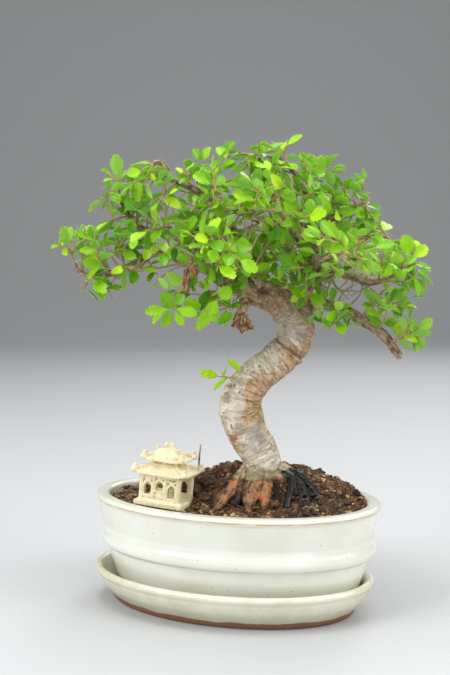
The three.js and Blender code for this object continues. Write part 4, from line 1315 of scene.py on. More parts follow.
# Dry twigs: points and radii
DRY_TWIGS = [
    [(34, -8, 163, 0.5), (40, -10.5, 155, 0.42), (45, -10, 149, 0.3)],
    [(36, -7.5, 159, 0.4), (41, -9.8, 157.5, 0.35), (46, -9, 156.5, 0.25)],
    [(62, -6, 163, 0.55), (68, -10, 170, 0.45), (70, -12, 178, 0.3)],
    [(56, -5, 164, 0.5), (60, -10, 172, 0.42), (66, -12, 176, 0.28)],
    [(70, -7, 157, 0.5), (77, -8, 166, 0.4), (80, -9, 173, 0.28)],
    [(50, -8, 182, 0.5), (56, -14, 174, 0.4), (62, -16, 168, 0.26)],
    [(64, -15, 180, 0.5), (62, -18, 172, 0.4), (56, -19, 166, 0.26)],
    [(-24, 0, 187, 0.6), (-34, -4, 182, 0.5), (-42, -6, 175, 0.3)],
    [(-60, 5, 182, 0.55), (-66, 1, 174, 0.42), (-64, -3, 168, 0.28)],
    [(2, -8, 176, 0.55), (-5, -14, 168, 0.45), (-11, -17, 160, 0.3)],
    [(47, -7, 182, 0.75), (61.4, -11, 179.2, 0.62), (70.9, -10, 175, 0.42)],
    [(71, -15, 177.5, 0.65), (70.3, -15, 183.5, 0.52), (62.4, -16, 189.5, 0.35)],
    [(52, -10, 181.5, 0.7), (56.4, -13, 173.4, 0.55), (66.5, -12.5, 172.4, 0.35)],
    [(61, -13.5, 181, 0.6), (60.4, -17, 177.6, 0.5), (54, -17, 171.4, 0.32)],
    [(78, -15.5, 178.5, 0.65), (70, -13, 173.6, 0.5), (63.4, -9.6, 169.6, 0.32)],
    [(56, -12, 181.5, 0.6), (49, -18, 176.6, 0.48), (46.4, -17, 169.6, 0.3)],
    [(66, -15, 179, 0.45), (74.6, -18, 172.6, 0.36), (79.4, -17, 168.6, 0.26)],
]
CLEAR_TWIG_RADII = (0.42, 0.36, 0.28)


def grow_clear_leaves(growth, twigs):
    for number, line in enumerate(DRY_TWIGS):
        growth.add_twig(line, f"dry.{number}", "dry", True)
    for spray, share, tip in CLEAR_TWIGS:
        start = along(twigs[spray][0], share)[0]
        places = (start, (start + tip) / 2 + UP * 0.6, tip)
        line = [(*place, radius) for place, radius in zip(places, CLEAR_TWIG_RADII)]
        growth.add_twig(line, f"{spray}.0", spray)
    for number, (base, tip, facing, half, spray) in enumerate(CLEAR_LEAVES):
        base, tip = np.array(base, float), np.array(tip, float)
        direction, facing = unit(tip - base), unit(np.array(facing, float))
        draw = make_draw(300001 + 17 * number)
        for _ in range(TRIES):
            turn = 0.25 * centred_draws(draw)
            leaf = new_leaf(base, unit(direction + turn), facing + 2 * turn, float(np.linalg.norm(tip - base)),
                            half=half, owner=f"{spray}.0", spray=spray)
            if growth.clear(leaf):
                growth.garden.add_leaf(leaf)
                break


# Round sticks
def tube(points, radii, sides):
    """A closed round stick along the points, its ends a little domed."""
    points, radii = np.asarray(points, float), np.asarray(radii, float)
    directions = units(np.gradient(points, axis=0))
    side = np.array([0.31, 0.87, 0.38])
    cos, sin = circle(sides).T[..., None]
    rings = []
    for point, direction, radius in zip(points, directions, radii):
        side = unit(side - direction * side.dot(direction))
        rings.append(point + radius * (cos * side + sin * np.cross(direction, side)))
    caps = [points[0] - directions[0] * radii[0] * 0.5, points[-1] + directions[-1] * radii[-1] * 0.5]
    return np.vstack([*rings, caps]), ring_faces(len(points), sides)


def sampled(line, step):
    """Points and radii along a limb, about a step apart."""
    count = max(int(length_of(line) / step), 3)
    found = [along(line, (len(line) - 1) * i / count) for i in range(count + 1)]
    return np.array([point for point, _ in found]), np.array([radius for _, radius in found])


# Leaves as meshes: toothed edge, folded along the midrib, with a short stalk
TEETH = 6
NOTCH_DEPTH = 0.13        # share of the half width
TOOTH_REACH = 0.18
STALK_SHARE = 0.07
STALK_HALF_WIDTH = 0.2
FINE_THICKNESS = 0.24
FOLD_SOFTNESS = 0.45
UPPER_COLUMNS = np.array([-1.0, -0.5, 0.0, 0.5, 1.0])
LOWER_COLUMNS = np.array([-1.0, 0.0, 1.0])


def blade_rows():
    """Shares of the length, and at each row how much the edge is pushed out and forward."""
    rows = [(0.0, 0.0, 0.0), (STALK_SHARE, 0.0, 0.0)]
    pitch = (1 - STALK_SHARE) / (TEETH + 0.5)
    for tooth in range(TEETH):
        notch = STALK_SHARE + pitch * (tooth + 0.35)
        rows.append((notch, -NOTCH_DEPTH, 0.0))
        rows.append((notch + pitch * 0.45, TOOTH_REACH, pitch * 0.4))
    rows.append((1.0, 0.0, 0.0))
    return np.array(rows)


BLADE_ROWS = blade_rows()


def blade_faces():
    rows, upper, lower = len(BLADE_ROWS), len(UPPER_COLUMNS), len(LOWER_COLUMNS)
    under = rows * upper
    faces = []
    for r in range(rows - 1):
        a, b = r * upper, (r + 1) * upper
        faces += [(a + c, b + c, b + c + 1, a + c + 1) for c in range(upper - 1)]
        d, e = under + r * lower, under + (r + 1) * lower
        faces += [(d + c, d + c + 1, e + c + 1, e + c) for c in range(lower - 1)]
        faces.append((a, d, e, b))
        faces.append((a + upper - 1, b + upper - 1, e + lower - 1, d + lower - 1))
    faces.append((*range(upper), *range(under + lower - 1, under - 1, -1)))
    last, below = (rows - 1) * upper, under + (rows - 1) * lower
    faces.append((*range(last + upper - 1, last - 1, -1), *range(below, below + lower)))
    return faces


BLADE_FACES = blade_faces()


def blade_mesh(leaf, draw):
    """Points and attributes of one leaf: first the upper face, then the lower one."""
    length = leaf["length"]
    widest = 0.43 + 0.15 * draw()
    fullness = 0.56 + 0.26 * draw()
    half = length * (0.25 + 0.07 * draw()) * min(1, 10.5 / length) ** 0.5
    half = leaf.get("half", half)
    fold = BLADE_FOLD * (0.75 + 0.5 * draw())
    wave = 0.2 * (draw() - 0.3)
    phase = 2 * math.pi * draw()
    lean = 0.06 * (draw() - 0.5)
    share, push, forward = BLADE_ROWS.T[..., None]
    beyond = np.clip((share - STALK_SHARE) / (1 - STALK_SHARE), 0, 1)
    power = math.log(0.5) / math.log(widest)
    width = half * np.sin(math.pi * beyond ** power) ** fullness
    width = np.maximum(width, np.where(share < 0.5, STALK_HALF_WIDTH, 0.08))
    points, places = [], []
    for columns, lift in ((UPPER_COLUMNS, FINE_THICKNESS / 2), (LOWER_COLUMNS, -FINE_THICKNESS / 2)):
        edge = (np.abs(columns) == 1)[None]
        side = np.sign(columns)[None]
        v = columns[None] * width * (1 + push * edge) * (1 + lean * side * (1 - beyond))
        u = length * (share + forward * edge)
        rise = fold * (np.sqrt(v * v + FOLD_SOFTNESS ** 2) - FOLD_SOFTNESS)
        rise += wave * np.abs(columns)[None] * np.sin(9 * share + phase + 2 * side)
        rise += lift * np.where(edge, 0.55, 1.0) - BLADE_DROOP * length * share ** 2
        place = leaf["base"] + u[..., None] * leaf["along"] + v[..., None] * leaf["across"]
        points.append((place + rise[..., None] * leaf["normal"]).reshape(-1, 3))
        shares = np.broadcast_to(share, v.shape)
        tone = np.full(v.shape, leaf["tone"])
        places.append(np.stack([shares, columns[None] * width / half, tone], axis=-1).reshape(-1, 3))
    under = np.repeat([0.0, 1.0], [len(points[0]), len(points[1])])
    return np.vstack(points), {"blade": np.vstack(places), "under": under, "young": leaf["young"], "tip": 1.0}


class Foliage(Heap):
    """Collects the twigs and leaves of one piece, with the attributes of their points."""

    def __init__(self):
        super().__init__()
        self.kinds = []
        self.fields = {"blade": [], "under": [], "young": [], "tip": []}

    def add_part(self, points, faces, kind, values):
        self.add(points, faces)
        self.kinds += [kind] * len(faces)
        for name, rows in self.fields.items():
            shape = (len(points), 3) if name == "blade" else (len(points),)
            rows.append(np.broadcast_to(values.get(name, 0.0), shape))

    def add_leaf(self, leaf, draw):
        points, values = blade_mesh(leaf, draw)
        self.add_part(points, BLADE_FACES, 0, values)

    def add_twig(self, line, radii, start_inside, tips, sides=6):
        """A slightly wavy twig along the line, which starts a little inside what it grows from."""
        points, _ = sampled([(*p[:3], 1.0) for p in line], 2.2)
        points = np.vstack([points[0] + unit(points[0] - points[1]) * start_inside, points])
        wobble = 0.22 * np.column_stack([lumps(points, 4.5, 31 + axis) for axis in range(3)])
        share = np.linspace(0, 1, len(points))
        points = points + wobble * np.minimum(share, 1 - share)[:, None] * 2
        radius = (radii[0] + (radii[1] - radii[0]) * share) * (1 + 0.16 * lumps(points, 1.9, 37))
        tips = tips[0] + (tips[1] - tips[0]) * share
        vertices, faces = tube(points, radius, sides)
        self.add_part(vertices, faces, 1, {"tip": np.append(np.repeat(tips, sides), [tips[0], tips[-1]])})


def tint_leaves(leaves):
    """A tone for each leaf, and new yellow-green growth at some tips."""
    for number, leaf in enumerate(leaves):
        draw = make_later_draw(5000 + 97 * number)
        leaf["tone"] = draw()
        out = leaf["base"] + leaf["along"] * leaf["length"] - CANOPY_MIDDLE
        outer = min(np.linalg.norm(out * [0.55, 0.8, 1.0]) / 55, 1)
        leaf["young"] = 1.0 if draw() < 0.16 * outer else 0.35 * draw() * outer
        if leaf["spray"] == TRUNK_SPRIG:
            leaf["young"] = 1.0
            leaf["half"] = 0.2 * leaf["length"]


def make_foliage(garden, growth, twigs):
    tint_leaves(garden.leaves)
    groups = {}
    for number, leaf in enumerate(garden.leaves):
        draw = make_later_draw(7001 + 131 * number)
        groups.setdefault(leaf["spray"], Foliage()).add_leaf(leaf, draw)
    for number, lines in enumerate(twigs):
        for part, line in enumerate(lines):
            start_inside = 0.0 if part else FIRST_TWIG_INSIDE
            groups.setdefault(number, Foliage()).add_twig(line, FIRST_TWIG_RADII, start_inside, (0.35, 1.0))
    for twig in growth.twigs:
        line = twig["line"]
        tips = (0.0, 0.2) if twig["bare"] else (0.3, 1.0)
        groups.setdefault(twig["group"], Foliage()).add_twig(line, (line[0][3], line[-1][3]), 0.0, tips)
    materials = [leaf_material(), twig_material()]
    for group, foliage in groups.items():
        replaced = [] if isinstance(group, str) else [f"spray_{group + 1:02d}"]
        if group == TRUNK_SPRIG:
            replaced = ["trunk_sprig"]
        name = f"leafy_{replaced[0]}" if replaced else f"shoots_{group}"
        fields = {key: np.concatenate(rows) for key, rows in foliage.fields.items()}
        slot = "young_leaf" if group == TRUNK_SPRIG else "leaf"
        piece = settle(foliage.made(name, turned), materials, slot, replaced, foliage.kinds, **fields)
        piece.data.set_sharp_from_angle(angle=math.radians(50))


# Trunk, limbs and roots as one grown skin
WOOD_VOXEL = 0.73
SEAM_PLACE = np.array([31.8, 0.5, 140.2])      # the brown ring round the neck
SEAM_AXIS = np.array([0.61, 0.0, 0.79])
SEAM_WIDTH = 0.8
KNOT_PLACE = np.array([17.5, -6.5, 172.0])     # the hollow where the top limbs meet
KNOT_RADIUS = 3.4
FINE_STUMP = [
    (11, -2, 171, 4.2), (7, -5, 165, 3.2), (6.3, -6, 160, 2.7), (5.8, -7, 155.5, 3.3), (6.2, -6.8, 151.8, 3),
]
# Zones as amount, middle and reach
TAN_ZONES = [
    (0.85, (2, -6, 89), (5, 9, 9)), (0.6, (13, -11, 112), (8, 8, 10)), (-0.5, (-5, -6, 112), (6, 9, 16)),
    (-0.4, (20, -8, 80), (7, 9, 8)),
]
PEELED_LOW = [(1, (13.5, -11, 93.5), (6.5, 7, 8))]
PEELED_HIGH = [(0.9, (35, -8, 151), (8, 9, 9))]
# Root tone zones: the first darkens the roots beside the gap between the wet roots as painted shade, the second
# darkens the roots left of the middle, and the third lightens the bright root
ROOT_SHADES = [
    (-0.6, (23.4, -15, 63.5), (3, 6, 5)), (-0.4, (4, -17, 62), (2.5, 6, 5)), (0.3, (17.8, -23, 62.5),
    (3, 5, 4)),
]
RUST_PLACE = np.array([1.5, -7, 92.5])
RUST_REACH = np.array([3.4, 7, 2.8])
RUST_TONE = 0.74


def zones(points, rows):
    """Sum of the zones at the points. Each fades out at about its reach."""
    return sum(amount * np.exp(-(((points - np.array(middle)) / reach) ** 2).sum(axis=1))
               for amount, middle, reach in rows)


def wood_lines():
    """Centre lines of all the wood, one sample to a millimetre, and the union of its round sticks."""
    limbs = {**WOOD, **SURFACE_ROOTS, **SPLINTERS, **FILLS, "stump": FINE_STUMP}
    heap = Heap()
    centres, thickness, directions, bends, names = [], [], [], [], []
    for name, line in limbs.items():
        middle, radii = sampled(line, 1.0)
        heap.add(*tube(middle, radii * (1 + 0.05 * lumps(middle, 9, 11)), 28 if radii.max() > 5 else 16))
        if name in FILLS:
            continue
        heading = units(np.gradient(middle, axis=0))
        centres.append(middle)
        thickness.append(radii)
        directions.append(heading)
        bends.append(np.gradient(heading, axis=0) / lengths_of(np.gradient(middle, axis=0))[:, None])
        names += [name] * len(middle)
    lines = [np.concatenate(rows) for rows in (centres, thickness, directions, bends)]
    return heap, *lines, np.array(names)


def make_wood(material):
    heap, centres, thickness, directions, bends, names = wood_lines()
    wood = heap.made("elm_wood")
    modify(wood, "REMESH", mode="VOXEL", voxel_size=WOOD_VOXEL * MM)
    applied(wood)
    skin = points_of(wood.data) / MM
    nearest = np.zeros(len(skin), int)
    for start in range(0, len(skin), 4000):
        apart = lengths_of(skin[start:start + 4000, None] - centres[None]) - thickness[None]
        nearest[start:start + 4000] = apart.argmin(axis=1)
    radius, direction, limb = thickness[nearest], directions[nearest], names[nearest]
    skin = smoothed(skin, wood.data, 8, np.clip((radius - 1.0) / 3, 0.15, 1)[:, None])
    normal = skin - centres[nearest]
    normal = units(normal - direction * dots(normal, direction)[:, None])
    travelled = np.concatenate([[0], np.cumsum(lengths_of(np.diff(centres, axis=0)))])[nearest]
    reference = units(np.cross(direction, [0.0, 1.0, 0.1]))
    turn = np.arctan2(dots(normal, np.cross(direction, reference)), dots(normal, reference))
    bark = np.column_stack([np.cos(turn) * radius, np.sin(turn) * radius, travelled])
    is_trunk = limb == "trunk"
    is_root, is_wet = np.char.startswith(limb, "root"), np.char.startswith(limb, "root_wet")
    is_dead = np.isin(limb, DEAD_LIMBS)

    # Relief: lumps, wrinkles, creases inside the bends, the seam and the knot
    squeeze = np.clip(dots(normal, bends[nearest]) * radius * 2.2, 0, 1)
    squeeze = squeeze * is_trunk * fade(skin[:, 2], 150, -8)
    age = fade(radius, 3.4, 4.4)
    creases = lumps(bark * [0.3, 0.3, 1.0], 1.3, 21) + 0.5 * lumps(bark, (4.0, 4.0, 0.9), 23)
    crease = squeeze * np.clip(1 - np.abs(creases) * 2.2, 0, 1)
    relief = 0.045 * radius * lumps(skin, 7, 41)
    relief += 0.16 * age * lumps(bark, (3.2, 3.2, 1.6), 43)
    relief += 0.2 * age * lumps(bark, (5.0, 5.0, 1.1), 47)
    relief += (1 - age) * 0.12 * np.minimum(radius, 3) * lumps(bark, (2.5, 2.5, 1.7), 53)
    crowded = fade(skin[:, 2], 150, 8) * fade(radius, 2.5, 3)
    relief += crowded * (0.5 * lumps(skin, 4.2, 57) + 0.35 * lumps(skin, 1.9, 58))
    relief -= 0.45 * crease
    rough_root = 0.7 * lumps(bark, (2.4, 2.4, 7.0), 59) + 0.4 * lumps(skin, 2.0, 61)
    relief += is_root * ~is_wet * rough_root * np.clip(radius / 4, 0.3, 1)
    jag = 0.5 * lumps(bark, (1.5, 1.5, 3), 67) + 0.8 * lumps(skin, 1.5, 71)
    relief += is_dead * jag * np.clip(radius / 3.4, 0.35, 1)
    above_seam = (skin - SEAM_PLACE) @ SEAM_AXIS + 0.5 * lumps(skin, 3.5, 77)
    near_seam = is_trunk * (lengths_of(skin - SEAM_PLACE) < 13)
    seam = near_seam * bell(above_seam, SEAM_WIDTH)
    bulge = near_seam * 0.9 * np.clip(normal[:, 0], 0.15, 1) * bell(above_seam + 2.1, 1.4)
    relief += bulge - 1.1 * seam
    from_knot = lengths_of(skin - KNOT_PLACE)
    knot = np.exp(-(from_knot / KNOT_RADIUS) ** 4)
    relief += 0.9 * bell(from_knot - KNOT_RADIUS * 1.5, 1.4) - 2.6 * knot
    skin = skin + normal * relief[:, None]
    height = skin[:, 2]

    # Colour zones
    # Tan: random patches and zones, and painted shade on the right side, the underside and, above 150 mm, under
    # the canopy
    tan = 0.5 * normal[:, 0] - 0.3 * normal[:, 2] + 0.3 * lumps(skin, 16, 73)
    tan = np.clip(0.2 + tan, 0, 1) + 0.4 * fade(height, 150, 12)
    tan += 0.35 * bell(above_seam + 3, 5) * near_seam + zones(skin, TAN_ZONES)
    peeled_low = zones(skin, PEELED_LOW) + 0.3 * lumps(skin, 3.5, 89)
    peeled = np.maximum(peeled_low, zones(skin, PEELED_HIGH) + 0.3 * lumps(skin, 4, 91)) * is_trunk
    moss = np.clip(1.6 - np.abs(height - 72.6) / 3.6, 0, 1) * np.clip(1 - 0.45 * normal[:, 0], 0.4, 1)
    moss = moss + 0.5 * np.clip(1 - np.abs(height - 106) / 10, 0, 1) * np.clip(normal[:, 0], 0, 1)
    flare = np.hypot(skin[:, 0] - 18, skin[:, 1] - 0.3) - 10.4 - 0.12 * np.maximum(74 - height, 0)
    rust = np.clip(1.3 - lengths_of((skin - RUST_PLACE) / RUST_REACH) - 0.45 * lumps(skin, 2.4, 87), 0, 1)
    rooty = np.maximum.reduce([
        fade(height, 69, -4), is_root * fade(height, 71.5, -4), is_wet,
        fade(flare, 0, 2) * fade(height, 74.5, -4), 0.7 * rust])
    tone = np.select([np.char.startswith(limb, key) for key in ROOT_TONES], list(ROOT_TONES.values()), 0.5)
    tone = np.where(rust > 0, RUST_TONE, tone)
    # ROOT_SHADES paints shade on the roots beside the gap between the wet roots
    tone = tone - 0.3 * fade(height, 64, -8) * (tone < 0.6) + zones(skin, ROOT_SHADES)
    low_trunk = is_trunk | is_root
    move_points(wood, turned(skin))
    settle(wood, [material], "bark", ["trunk"], age=age * (1 - 0.7 * fade(height, 153, 8)),
           tan=np.clip(tan, 0, 1), crease=crease, peeled=np.clip(peeled, 0, 1), moss=moss * low_trunk,
           rooty=rooty * low_trunk, root_tone=tone, seam=np.clip(seam, 0, 1), knot=np.clip(knot, 0, 1),
           damp=is_wet, dead=is_dead, bark=bark)


# Soil, in the pot's own place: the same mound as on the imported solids, with crumbs
SOIL_HALF_LENGTH = 71.8
MOUND_CENTRE = (15.0, 12.0)
MOUND_REACH = (52.0, 30.0)
INNER_WALL = [(71.6, 46), (67.5, 27), (61.5, 13)]


def soil_height(x, y):
    apart = ((x - MOUND_CENTRE[0]) / MOUND_REACH[0]) ** 2 + ((y - MOUND_CENTRE[1]) / MOUND_REACH[1]) ** 2
    rolling = 0.7 * np.sin(0.31 * x + 1) * np.cos(0.37 * y) + 0.5 * np.sin(0.53 * y + 0.21 * x)
    return SOIL_EDGE + SOIL_MOUND * np.exp(-apart * apart) + rolling


def under_pavilion(points):
    """Height of the underside of the pavilion's plate over the points, and how far they lie from it."""
    matrix = np.array(pavilion_matrix())
    bottom = matrix[:3, 3] - matrix[:3, 2] * PLATE_SUNK
    world = points[:, :2] + POT_OFFSET[:2]
    height = bottom[2] - ((world - bottom[:2]) @ matrix[:2, 2]) / matrix[2, 2]
    local = (np.column_stack([world, height]) - matrix[:3, 3]) @ matrix[:3, :3]
    outside = np.maximum(np.abs(local[:, 0]) - PLATE[0] / 2, np.abs(local[:, 1]) - PLATE[1] / 2)
    return height, np.maximum(outside, 0)


def crumbs(points):
    return (1.0 * lumps(points, 6.5, 101) + 0.9 * lumps(points, 3.1, 103) + 0.55 * lumps(points, 1.7, 107)
            + 0.3 * lumps(points, 0.9, 109))


def root_gap_shade(points):
    """1 where painted shade darkens the soil in the gap between the wet roots, points in the pot's place."""
    x, y, _ = turned(points + POT_OFFSET, -PLANTING_TURN).T
    beside = np.exp(-((x - 24.6) / 3.6) ** 2 - ((y + 17) / 7) ** 2)
    return np.maximum(np.exp(-((x - 35) / 8) ** 2 - ((y + 17) / 7) ** 2), beside)


SOIL_RINGS = 96
SOIL_SEGMENTS = 288


def make_soil(material):
    wall = [(half - GAP, z) for half, z in reversed(INNER_WALL)]
    top = [(SOIL_HALF_LENGTH * share, SOIL_EDGE) for share in np.linspace(1, 0.004, SOIL_RINGS)]
    profile = [(0, POT_FLOOR + GAP), (57 - GAP, POT_FLOOR + GAP), *wall, *top, (0, SOIL_EDGE)]
    points, faces = oval_lathe(profile, SOIL_SEGMENTS)
    upper = points[:, 2] > SOIL_EDGE - 0.1
    height = soil_height(points[:, 0], points[:, 1]) + crumbs(points * [1, 1, 0])
    seat, outside = under_pavilion(points)
    banked = np.maximum(height, seat - 0.1 - 0.8 * outside)
    height = np.where(outside > 0, banked, np.maximum(np.minimum(height, seat + 0.4), seat - 0.2))
    points[:, 2] = np.where(upper, height, points[:, 2])
    # Soil tone: random lumps, darker as painted shade in the gap between the wet roots
    tone = 0.32 + 0.26 * lumps(points, 2.4, 113) + 0.12 * lumps(points, 9, 127) - 0.35 * root_gap_shade(points)
    settle(loose_object("soil_bed", points + POT_OFFSET, faces), [material], "soil", ["soil"], tone=tone)


GRAIN_COUNTS = [
    # how many, radius from, radius to, sphere subdivisions
    (1900, 0.4, 0.95, 1),
    (420, 0.9, 1.6, 2),
    (36, 1.6, 2.6, 2),
]
CLODS = [
    # place in the tree's turn, radius
    ((46, -1, 67), 6.4), ((40, 3, 70.5), 4.2), ((51, -7, 61.5), 5.0), ((36, 8, 72), 4.0), ((57, 0, 60), 4.4),
    ((-3, 6, 72), 4.2), ((4, 10, 74.5), 3.4), ((-12, 3, 67), 4.4), ((-20, 2, 62), 4.2), ((-4, -5, 68), 3.0),
    ((41, -9, 65.5), 3.2), ((33, -25, 60), 2.6), ((22, -26, 61), 2.4), ((-14, -12, 62), 3.0),
    ((14, 26, 70), 4.2),
    ((30, 24, 70), 3.8),
]
FIBRES = 260
PAVILION_PLACE = np.array([-31.2, -18.6, 60.4])
PAVILION_TURN = tuple(math.radians(angle) for angle in (-3, 4, -3))
CLEAR_OF_PAVILION = (13.9, 11.9)
FULL_TURN = 6.28


class Grains(Heap):
    """Places crumbs, chips, clods and fibres on the soil, each with its tone."""

    def __init__(self):
        super().__init__()
        self.rng = np.random.default_rng(20)
        self.random = self.rng.random
        self.tones = []
        self.pavilion = np.array(pavilion_matrix().inverted())
        self.trunk = np.array([(*turned(np.array(p[:3], float)), p[3]) for p in WOOD["trunk"][1:5]])

    def put(self, points, faces, tone):
        self.add(points, faces)
        self.tones.append(np.broadcast_to(tone, len(points)))

    def free(self, world, size):
        """Whether a grain there is clear of the pavilion and of the trunk."""
        local = np.abs(self.pavilion @ np.array([*world, 1.0]))
        if local[0] < CLEAR_OF_PAVILION[0] + size and local[1] < CLEAR_OF_PAVILION[1] + size:
            return False
        return not (lengths_of(self.trunk[:, :2] - world[:2]) < self.trunk[:, 3] - 1).any()

    def try_grain(self, ball, faces, small, large):
        random = self.random
        r = SOIL_HALF_LENGTH * math.sqrt(random())
        angle = random() * 2 * math.pi
        size = small + (large - small) * random() ** 1.6
        r = min(r, SOIL_HALF_LENGTH - 0.4 - size * 1.3)
        place = np.array([*oval(r * math.cos(angle), r * math.sin(angle)), 0.0])
        world = place + POT_OFFSET
        world[2] = soil_height(*place[:2]) + crumbs(place[None])[0]
        if not self.free(world, size):
            return False
        stretch = np.array([1 + 0.7 * random() ** 2, 0.75 + 0.3 * random(), 0.5 + 0.45 * random()])
        shape = ball * (1 + 0.42 * lumps(ball + 40 * random(3), 0.62, 131))[:, None] * stretch * size
        tilt = Matrix.Rotation(random() * FULL_TURN, 3, "Z") @ Matrix.Rotation((random() - 0.5) * 1.2, 3, "X")
        shape = shape @ np.array(tilt).T + world + [0, 0, size * (0.12 + 0.3 * random())]
        # Painted shade darkens the grains in the gap between the wet roots; dry is 1 away from that gap
        dry = 1 - 0.7 * root_gap_shade(place[None])[0]
        self.put(shape, faces, (0.12 + 0.85 * random() ** 1.3) * dry)
        return True

    def add_fibre(self):
        r = (SOIL_HALF_LENGTH - 6) * math.sqrt(self.random())
        angle = self.random() * FULL_TURN
        x, y = oval(r * math.cos(angle), r * math.sin(angle))
        place = np.array([x, y, soil_height(x, y) + 0.7])
        heading = unit(self.rng.normal(size=3) * [1, 1, 0.35]) * (1.4 + 2.4 * self.random())
        bend = self.rng.normal(size=3) * 0.5
        end = place + heading + [0, 0, 0.5 * self.random()]
        line = np.array([place - heading, place + bend + [0, 0, 0.4], end])
        stick, faces = tube(line + POT_OFFSET, [0.09, 0.15, 0.08], 5)
        halves = [half for face in faces for half in (face[:3], (face[0], *face[2:])) if len(half) == 3]
        self.put(stick, halves, 0.6 + 0.4 * self.random())


def make_grains(material):
    grains = Grains()
    for how_many, small, large, subdivisions in GRAIN_COUNTS:
        ball, faces = unit_sphere(subdivisions)
        placed = 0
        while placed < how_many:
            placed += grains.try_grain(ball, faces, small, large)
    ball, faces = unit_sphere(4)
    for order, (place, size) in enumerate(CLODS):
        far = ball * size + order * 31.0
        rough = 0.16 * lumps(far, 3.4, 171) + 0.14 * lumps(far, 1.5, 173) + 0.07 * lumps(far, 0.8, 179)
        shape = ball * (size * (1 + rough))[:, None] * [1.1, 1, 0.85] + turned(np.array(place, float))
        grains.put(shape, faces, 0.38 + 0.3 * lumps(far, 1.8, 181))
    for _ in range(FIBRES):
        grains.add_fibre()
    piece = settle(grains.made("soil_grains"), [material], "soil", tone=np.concatenate(grains.tones))
    piece.data.set_sharp_from_angle(angle=math.radians(38))


def pavilion_matrix():
    turn = Matrix.Rotation(PAVILION_TURN[0], 4, "X") @ Matrix.Rotation(PAVILION_TURN[1], 4, "Y")
    turn = turn @ Matrix.Rotation(PAVILION_TURN[2], 4, "Z")
    return Matrix.Translation(PAVILION_PLACE) @ turn


# Pavilion, in its own millimetres: the origin is the middle of the base plate's top
PLATE = (27.5, 23.5, 2.6)
PLATE_TOP = -0.7
PLATE_SUNK = PLATE[2] - PLATE_TOP
WALLS = (23.0, 19.0)
WALL_HEIGHT = 13.5
WALL_THICKNESS = 1.6
PAVILION_VOXEL = 0.27
PAVILION_FACES = 46000
BAYS = [
    # middle, sill, spring, apex of each front opening
    (-6.9, 2.7, 7.2, 9.4),
    (0.0, 5.3, 8.3, 10.4),
    (6.9, 2.2, 6.6, 8.9),
]
BAY_WIDTH = 3.9
LOWER_ROOF = {"half": (15.0, 13.0), "eave": 13.4, "edge": 1.3, "rise": 3.3, "lift": 1.3}
UPPER_ROOF = {"half": (11.5, 9.5), "eave": 20.6, "edge": 1.1, "rise": 5.4, "lift": 1.2}


class Casting(Heap):
    """Shapes that overlap. A remesh then joins them in one cast piece."""

    def centred(self, half_x, half_y, z0, z1):
        self.box(-half_x, half_x, -half_y, half_y, z0, z1)

    def ball(self, centre, radii):
        points, faces = unit_sphere(3)
        self.add(points * radii + np.array(centre), faces)

    def rod(self, corners, radii, steps=14, sides=12):
        shares = np.linspace(0, 1, steps)
        middle = np.array([curve_point(corners, share) for share in shares])
        self.add(*tube(middle, np.interp(shares, np.linspace(0, 1, len(radii)), radii), sides))

    def panel(self, outline, holes, thickness, matrix):
        """A flat pierced panel: its outline and holes are (across, up), and the matrix stands it up."""
        curve = bpy.data.curves.new("panel", "CURVE")
        curve.dimensions = "2D"
        curve.fill_mode = "BOTH"
        curve.extrude = thickness / 2
        for corners in (outline, *holes):
            spline = curve.splines.new("POLY")
            spline.points.add(len(corners) - 1)
            spline.points.foreach_set("co", [c for x, z in corners for c in (x, z, 0, 1)])
            spline.use_cyclic_u = True
        holder = bpy.data.objects.new("panel", curve)
        mesh = bpy.data.meshes.new_from_object(holder)
        points = points_of(mesh)[:, [0, 2, 1]] * [1, -1, 1]
        faces = [tuple(polygon.vertices) for polygon in mesh.polygons]
        self.add(points @ np.array(matrix)[:3, :3].T + np.array(matrix)[:3, 3], faces)
        bpy.data.objects.remove(holder)
        bpy.data.meshes.remove(mesh)
        bpy.data.curves.remove(curve)

    def bands(self, matrix, rows):
        """Plain raised panels: two ends across, two heights, and how far they stand out in all."""
        for x0, x1, z0, z1, proud in rows:
            self.panel(rectangle(x0, x1, z0, z1), [], WALL_THICKNESS + proud, matrix)


def pointed_arch(middle, width, sill, spring, apex, steps=6):
    """Corners of an opening with a pointed top."""
    shares = [i / steps for i in range(steps + 1)]
    right = [(width / 2 * (1 - share ** 1.4), spring + (apex - spring) * share) for share in shares]
    left = [(-x, z) for x, z in right[-2::-1]]
    return [(middle + x, z) for x, z in ((-width / 2, sill), (width / 2, sill), *right, *left)]


def disc(x, z, radius, tall=1.0, sides=10):
    return [(x + dx, z + dz * tall) for dx, dz in circle(sides, radius).tolist()]


def rectangle(x0, x1, z0, z1):
    return [(x0, z0), (x1, z0), (x1, z1), (x0, z1)]


